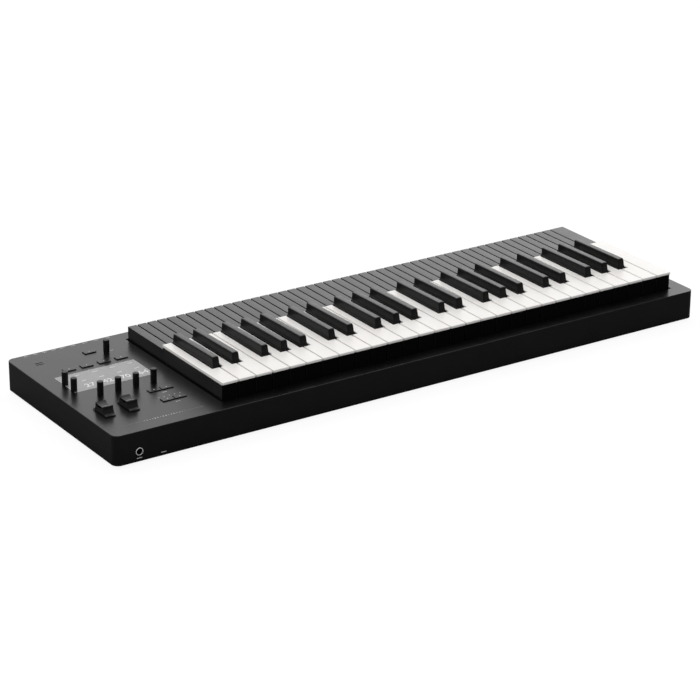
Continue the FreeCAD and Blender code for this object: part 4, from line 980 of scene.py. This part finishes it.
class SYNTH_OT_printing(bpy.types.Operator):
    """Prints the plain marks by the controls, along the rear edge and on the front"""
    bl_idname = "synth.printing"
    bl_label = "Printed marks and lamps"

    def execute(self, context):
        sizes = context.scene.synth_panel
        tree = printed_word_tree()
        words = []
        for left, right in (OCTAVE_BUTTONS, EDIT_BUTTONS):
            a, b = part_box(left)[0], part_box(right)[1]
            words.append(((a.x + b.x) / 2, a.y - 4.8 * MM, PANEL_Z))
        a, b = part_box("volume_knob")
        words.append(((a.x + b.x) / 2 + 8 * MM, (a.y + b.y) / 2 + 3 * MM, PANEL_Z))
        flat = {"Step": (1.0 * MM, 0.0, 0.0), "Block": (0.65 * MM, 1.0 * MM, sizes.ink_height)}
        mesh = grown("control_words", tree, words, {"Blocks": 6, "Finish": FINISH["white_ink"], **flat})
        piece_of_mesh("control_words", mesh, [], "case")
        rear = [((a.x + b.x) / 2, CASE_HIGH.y - 3.8 * MM, PANEL_Z)
                for node in ("audio_sockets", "data_and_power_sockets") for a, b in solids_of(node)
                if b.y > 0 and b.x - a.x > 8.9 * MM]
        mesh = grown("rear_words", tree, rear, {"Blocks": 6, "Finish": FINISH["white_ink"], **flat})
        piece_of_mesh("rear_words", mesh, [], "case")
        ring = [box for box in solids_of("audio_sockets") if box[0].y < 0][0]
        x, z = (ring[0].x + ring[1].x) / 2, (ring[0].z + ring[1].z) / 2
        mesh = grown("front_words", tree, [(x, CASE_LOW.y, z - 8 * MM), (x + 32 * MM, CASE_LOW.y, z - 8.2 * MM)], {
            "Blocks": 6, "Step": (1.2 * MM, 0.0, 0.0), "Block": (0.8 * MM, sizes.ink_height, 1.1 * MM),
            "Finish": FINISH["white_ink"]})
        piece_of_mesh("front_words", mesh, [], "case")
        self.panel_line(sizes)
        self.lamps(sizes)
        return {"FINISHED"}

    def panel_line(self, sizes):
        """A fine line across the front of the panel that swells to a wave, and a plain two-bar mark at the rear."""
        low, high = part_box("display_window")
        y, top = CASE_LOW.y + PANEL_LINE_FROM_FRONT, PANEL_Z + sizes.ink_height
        bm = bmesh.new()
        box_into(bm, Vector((low.x, y - PANEL_LINE_HALF, PANEL_Z)), Vector((high.x, y + PANEL_LINE_HALF, top)))
        middle, ticks, pitch = (low.x + high.x) / 2, PANEL_TICKS, TICK_PITCH
        for i in range(ticks):
            along = (i - (ticks - 1) / 2) * pitch
            swell = (1.0 + math.cos(math.pi * along / (ticks * pitch)) * (1.0 + math.sin(i * 1.9))) * MM
            box_into(bm, Vector((middle + along - TICK_HALF, y - swell / 2, PANEL_Z)),
                     Vector((middle + along + TICK_HALF, y + swell / 2, top)), 0.0, 1)
        piece("panel_line", bm, ["ink", "white_ink"], "case")
        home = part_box("home_button")
        x, y = low.x + MARK_HALF_LENGTH, (home[0].y + home[1].y) / 2
        bm = bmesh.new()
        for up in (-MARK_SPREAD, MARK_SPREAD):
            box_into(bm, Vector((x - MARK_HALF_LENGTH, y + up - MARK_HALF_WIDTH, PANEL_Z)),
                     Vector((x + MARK_HALF_LENGTH, y + up + MARK_HALF_WIDTH, top)))
        piece("panel_mark", bm, ["black_ink"], "case")

    def lamps(self, sizes):
        """Five lamp lenses in a row between the two pairs of buttons."""
        low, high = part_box(EDIT_BUTTONS[0])[0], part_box(EDIT_BUTTONS[1])[1]
        inset = 1.6 * MM
        pitch = (high.x - low.x - 2 * inset) / 4
        places = [(low.x + inset + i * pitch, high.y + 4 * MM, PANEL_Z) for i in range(5)]
        mesh = grown("lamp_lenses", lamp_lens_tree(), places, {
            "Radius": sizes.lens_radius, "Height": 0.15 * MM, "Finish": FINISH["lens"]})
        piece_of_mesh("lamp_lenses", mesh, [], "case")


class SYNTH_OT_socket_nuts(bpy.types.Operator):
    """Makes the plated rings round the sockets"""
    bl_idname = "synth.socket_nuts"
    bl_label = "Socket nuts"

    def execute(self, context):
        sizes = context.scene.synth_panel
        tree = ring_nut_tree()
        groups = {
            "large_socket_nuts": ("audio_sockets", 14 * MM, 1, (5.6 * MM, 3.5 * MM, 18, 0.5 * MM)),
            "front_socket_ring": ("audio_sockets", 14 * MM, -1, (4.8 * MM, 4.0 * MM, 8, 0.0)),
            "small_socket_rings": ("data_and_power_sockets", 9 * MM, 1, (3.3 * MM, 2.0 * MM, 8, 0.0)),
            "inlet_ring": ("data_and_power_sockets", 14 * MM, 1, (4.6 * MM, 3.4 * MM, 8, 0.0)),
        }
        for name, (node, wide, side, (outer, inner, ridges, depth)) in groups.items():
            face = CASE_HIGH.y if side > 0 else CASE_LOW.y
            places = [((a.x + b.x) / 2, face, (a.z + b.z) / 2) for a, b in solids_of(node)
                      if abs(b.x - a.x - wide) < 0.3 * MM and b.y * side > 0]
            mesh = grown(name, tree, places, {
                "Outer": outer, "Inner": inner, "Proud": sizes.nut_proud, "Ridges": ridges, "Ridge depth": depth,
                "Lean": (-side * math.pi / 2, 0.0, 0.0), "Finish": FINISH["nickel" if side > 0 else "white_ink"]})
            piece_of_mesh(name, mesh, [], "case")
        self.square_socket(sizes)
        return {"FINISHED"}

    def square_socket(self, sizes):
        """The tinned shell and the tongue of the square data socket."""
        low, high = [box for box in solids_of("data_and_power_sockets")
                     if 11 * MM < box[1].x - box[0].x < 13 * MM][0]
        face, rim = CASE_HIGH.y, SHELL_RIM
        a = Vector((low.x + SHELL_INSET, face - SHELL_DEPTH, low.z + SHELL_INSET))
        b = Vector((high.x - SHELL_INSET, face + SHELL_PROUD, high.z - SHELL_INSET))
        bm = bmesh.new()
        box_into(bm, a, Vector((a.x + rim, b.y, b.z)))
        box_into(bm, Vector((b.x - rim, a.y, a.z)), b)
        box_into(bm, a, Vector((b.x, b.y, a.z + rim)))
        box_into(bm, Vector((a.x, a.y, b.z - rim)), b)
        x, z = (low.x + high.x) / 2, (low.z + high.z) / 2
        box_into(bm, Vector((x - TONGUE_HALF_WIDTH, face - TONGUE_DEEP, z - TONGUE_HALF_HEIGHT)),
                 Vector((x + TONGUE_HALF_WIDTH, face - TONGUE_SHALLOW, z + TONGUE_HALF_HEIGHT)), 0.2, 1)
        piece("square_socket_shell", bm, ["nickel", "switchgear"], "case")


class SYNTH_OT_finishes(bpy.types.Operator):
    """Gives every CAD node that stays its own finish"""
    bl_idname = "synth.finishes"
    bl_label = "Finishes"

    def execute(self, context):
        chosen = {
            "top_case": "case", "bottom_plate": "plate", "key_chassis": "chassis_steel", "key_felts": "felt",
            "key_rail": "rail", "key_sensor_board": "circuit_board", "control_board": "circuit_board",
            "main_board": "circuit_board", "knob_encoders": "switchgear", "button_switches": "switchgear",
            "slider_tracks": "switchgear", "display_screen": "screen", "audio_sockets": "socket",
            "data_and_power_sockets": "socket",
        }
        for name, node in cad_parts.items():
            if name.startswith("key_hinges_"):
                finish = "acetal"
            elif name.startswith("keys_"):
                finish = "white_key" if name[5:] in WHITE_NOTES else "black_key"
            elif name in chosen:
                finish = chosen[name]
            else:
                continue
            node.data.materials.clear()
            node.data.materials.append(FINISH[finish])
        return {"FINISHED"}


# ---- stage ----
class SYNTH_OT_stage(bpy.types.Operator):
    """Makes the floor, the soft light and the camera"""
    bl_idname = "synth.stage"
    bl_label = "Stage"

    def execute(self, context):
        sizes = context.scene.synth_stage
        scene = context.scene
        scene.view_settings.view_transform = "Standard"
        bm = bmesh.new()
        bmesh.ops.create_grid(bm, x_segments=2, y_segments=2, size=30.0)
        mesh = bpy.data.meshes.new("floor")
        bm.to_mesh(mesh)
        bm.free()
        mesh.materials.append(self.floor_finish(sizes))
        floor = bpy.data.objects.new("floor", mesh)
        scene.collection.objects.link(floor)
        self.light(scene, sizes)
        self.camera(scene, sizes)
        return {"FINISHED"}

    def floor_finish(self, sizes):
        """Grey paper that only the camera sees as white, so the object keeps its shadow and its dark sides."""
        material = bpy.data.materials.new("pale paper floor")
        material.use_nodes = True
        tree = material.node_tree
        tree.nodes.clear()
        path = add(tree, "ShaderNodeLightPath")
        seen = add(tree, MATH, {0: path.outputs["Is Camera Ray"], 1: path.outputs["Is Transmission Ray"]},
                   operation="MAXIMUM")
        strength = add(tree, MATH, {0: seen, 1: sizes.floor_lift}, operation="MULTIPLY")
        lift = add(tree, "ShaderNodeEmission", {"Strength": strength})
        paper = add(tree, "ShaderNodeBsdfDiffuse", {"Color": (*sizes.floor_colour, 1.0)})
        lifted = add(tree, "ShaderNodeAddShader", {0: paper, 1: lift})
        add(tree, "ShaderNodeOutputMaterial", {"Surface": lifted})
        return material

    def light(self, scene, sizes):
        """Even light from all round, a soft lamp above, and a backdrop that is brightest low down on the right."""
        world = bpy.data.worlds.new("studio")
        scene.world = world
        world.use_nodes = True
        tree = world.node_tree
        tree.nodes.clear()
        path = add(tree, "ShaderNodeLightPath")
        way = add(tree, "ShaderNodeTexCoord").outputs["Generated"]
        lean = add(tree, "ShaderNodeVectorMath", {0: way, 1: (0.384, 0.0, -0.923)}, operation="DOT_PRODUCT")
        backdrop = add(tree, "ShaderNodeMapRange", {
            "Value": lean.outputs["Value"], "From Min": -0.276, "From Max": -0.048,
            "To Min": sizes.backdrop_dim, "To Max": sizes.backdrop_bright})
        across = add(tree, "ShaderNodeSeparateXYZ", {0: way})
        behind = add(tree, "ShaderNodeMapRange", {
            "Value": across.outputs["Y"], "From Min": -0.3, "From Max": 0.5, "To Min": sizes.player_side})
        backdrop = add(tree, MATH, {0: backdrop, 1: behind}, operation="MULTIPLY")
        seen = add(tree, MATH, {0: path.outputs["Is Camera Ray"], 1: path.outputs["Is Transmission Ray"]},
                   operation="MAXIMUM")
        backdrop = add(tree, MATH, {0: backdrop, 1: seen}, operation="MAXIMUM")
        shown = add(tree, MATH, {0: seen, 1: path.outputs["Is Glossy Ray"]}, operation="MAXIMUM")
        fill = add(tree, "ShaderNodeBackground", {"Strength": sizes.fill})
        white = add(tree, "ShaderNodeBackground", {"Strength": backdrop})
        mixed = add(tree, "ShaderNodeMixShader", {0: shown, 1: fill, 2: white})
        add(tree, "ShaderNodeOutputWorld", {"Surface": mixed})
        lamp = bpy.data.lights.new("overhead softbox", "AREA")
        lamp.shape, lamp.size, lamp.size_y, lamp.energy = "RECTANGLE", 2.6, 1.6, sizes.overhead
        holder = bpy.data.objects.new("overhead softbox", lamp)
        holder.location = (0.3, 1.1, 2.2)
        holder.rotation_euler = (-holder.location).to_track_quat("-Z", "Y").to_euler()
        scene.collection.objects.link(holder)

    def camera(self, scene, sizes):
        """The camera, which looks down over the panel from the player's left."""
        data = bpy.data.cameras.new("camera")
        data.lens, data.sensor_width = sizes.lens, 36.0
        data.clip_start, data.clip_end = 0.1, 100.0
        camera = bpy.data.objects.new("camera", data)
        right = Vector((0.83369, -0.5522, 0.00569))
        up = Vector((0.20655, 0.32136, 0.92416))
        back = Vector((-0.51215, -0.76929, 0.38197))
        turn = Matrix((right, up, back)).transposed().to_4x4()
        camera.matrix_world = Matrix.Translation((-1.7068, -2.5367, 1.2694)) @ turn
        scene.collection.objects.link(camera)
        scene.camera = camera


OPERATORS = (
    SYNTH_OT_finishes, SYNTH_OT_case, SYNTH_OT_white_keys, SYNTH_OT_black_keys, SYNTH_OT_key_levers,
    SYNTH_OT_knobs, SYNTH_OT_buttons, SYNTH_OT_sliders, SYNTH_OT_display, SYNTH_OT_printing,
    SYNTH_OT_socket_nuts, SYNTH_OT_stage)


class SYNTH_PT_maker(bpy.types.Panel):
    bl_idname = "SYNTH_PT_maker"
    bl_label = "Synthesizer"
    bl_space_type = "VIEW_3D"
    bl_region_type = "UI"
    bl_category = "Synthesizer"

    def draw(self, context):
        for group in (context.scene.synth_keys, context.scene.synth_panel, context.scene.synth_stage):
            box = self.layout.box()
            for name in group.__annotations__:
                box.prop(group, name)
        for operator in OPERATORS:
            self.layout.operator(operator.bl_idname)


GROUPS = {"synth_keys": SynthKeySizes, "synth_panel": SynthPanelSizes, "synth_stage": SynthStageSizes}


def register():
    for cls in (*GROUPS.values(), *OPERATORS, SYNTH_PT_maker):
        bpy.utils.register_class(cls)
    for name, group in GROUPS.items():
        setattr(bpy.types.Scene, name, bpy.props.PointerProperty(type=group))


def unregister():
    for name in GROUPS:
        delattr(bpy.types.Scene, name)
    for cls in reversed((*GROUPS.values(), *OPERATORS, SYNTH_PT_maker)):
        bpy.utils.unregister_class(cls)


def main():
    register()
    FINISH.update(make_materials())
    for operator in OPERATORS:
        group, name = operator.bl_idname.split(".")
        getattr(getattr(bpy.ops, group), name)()


if __name__ == "__main__":
    main()
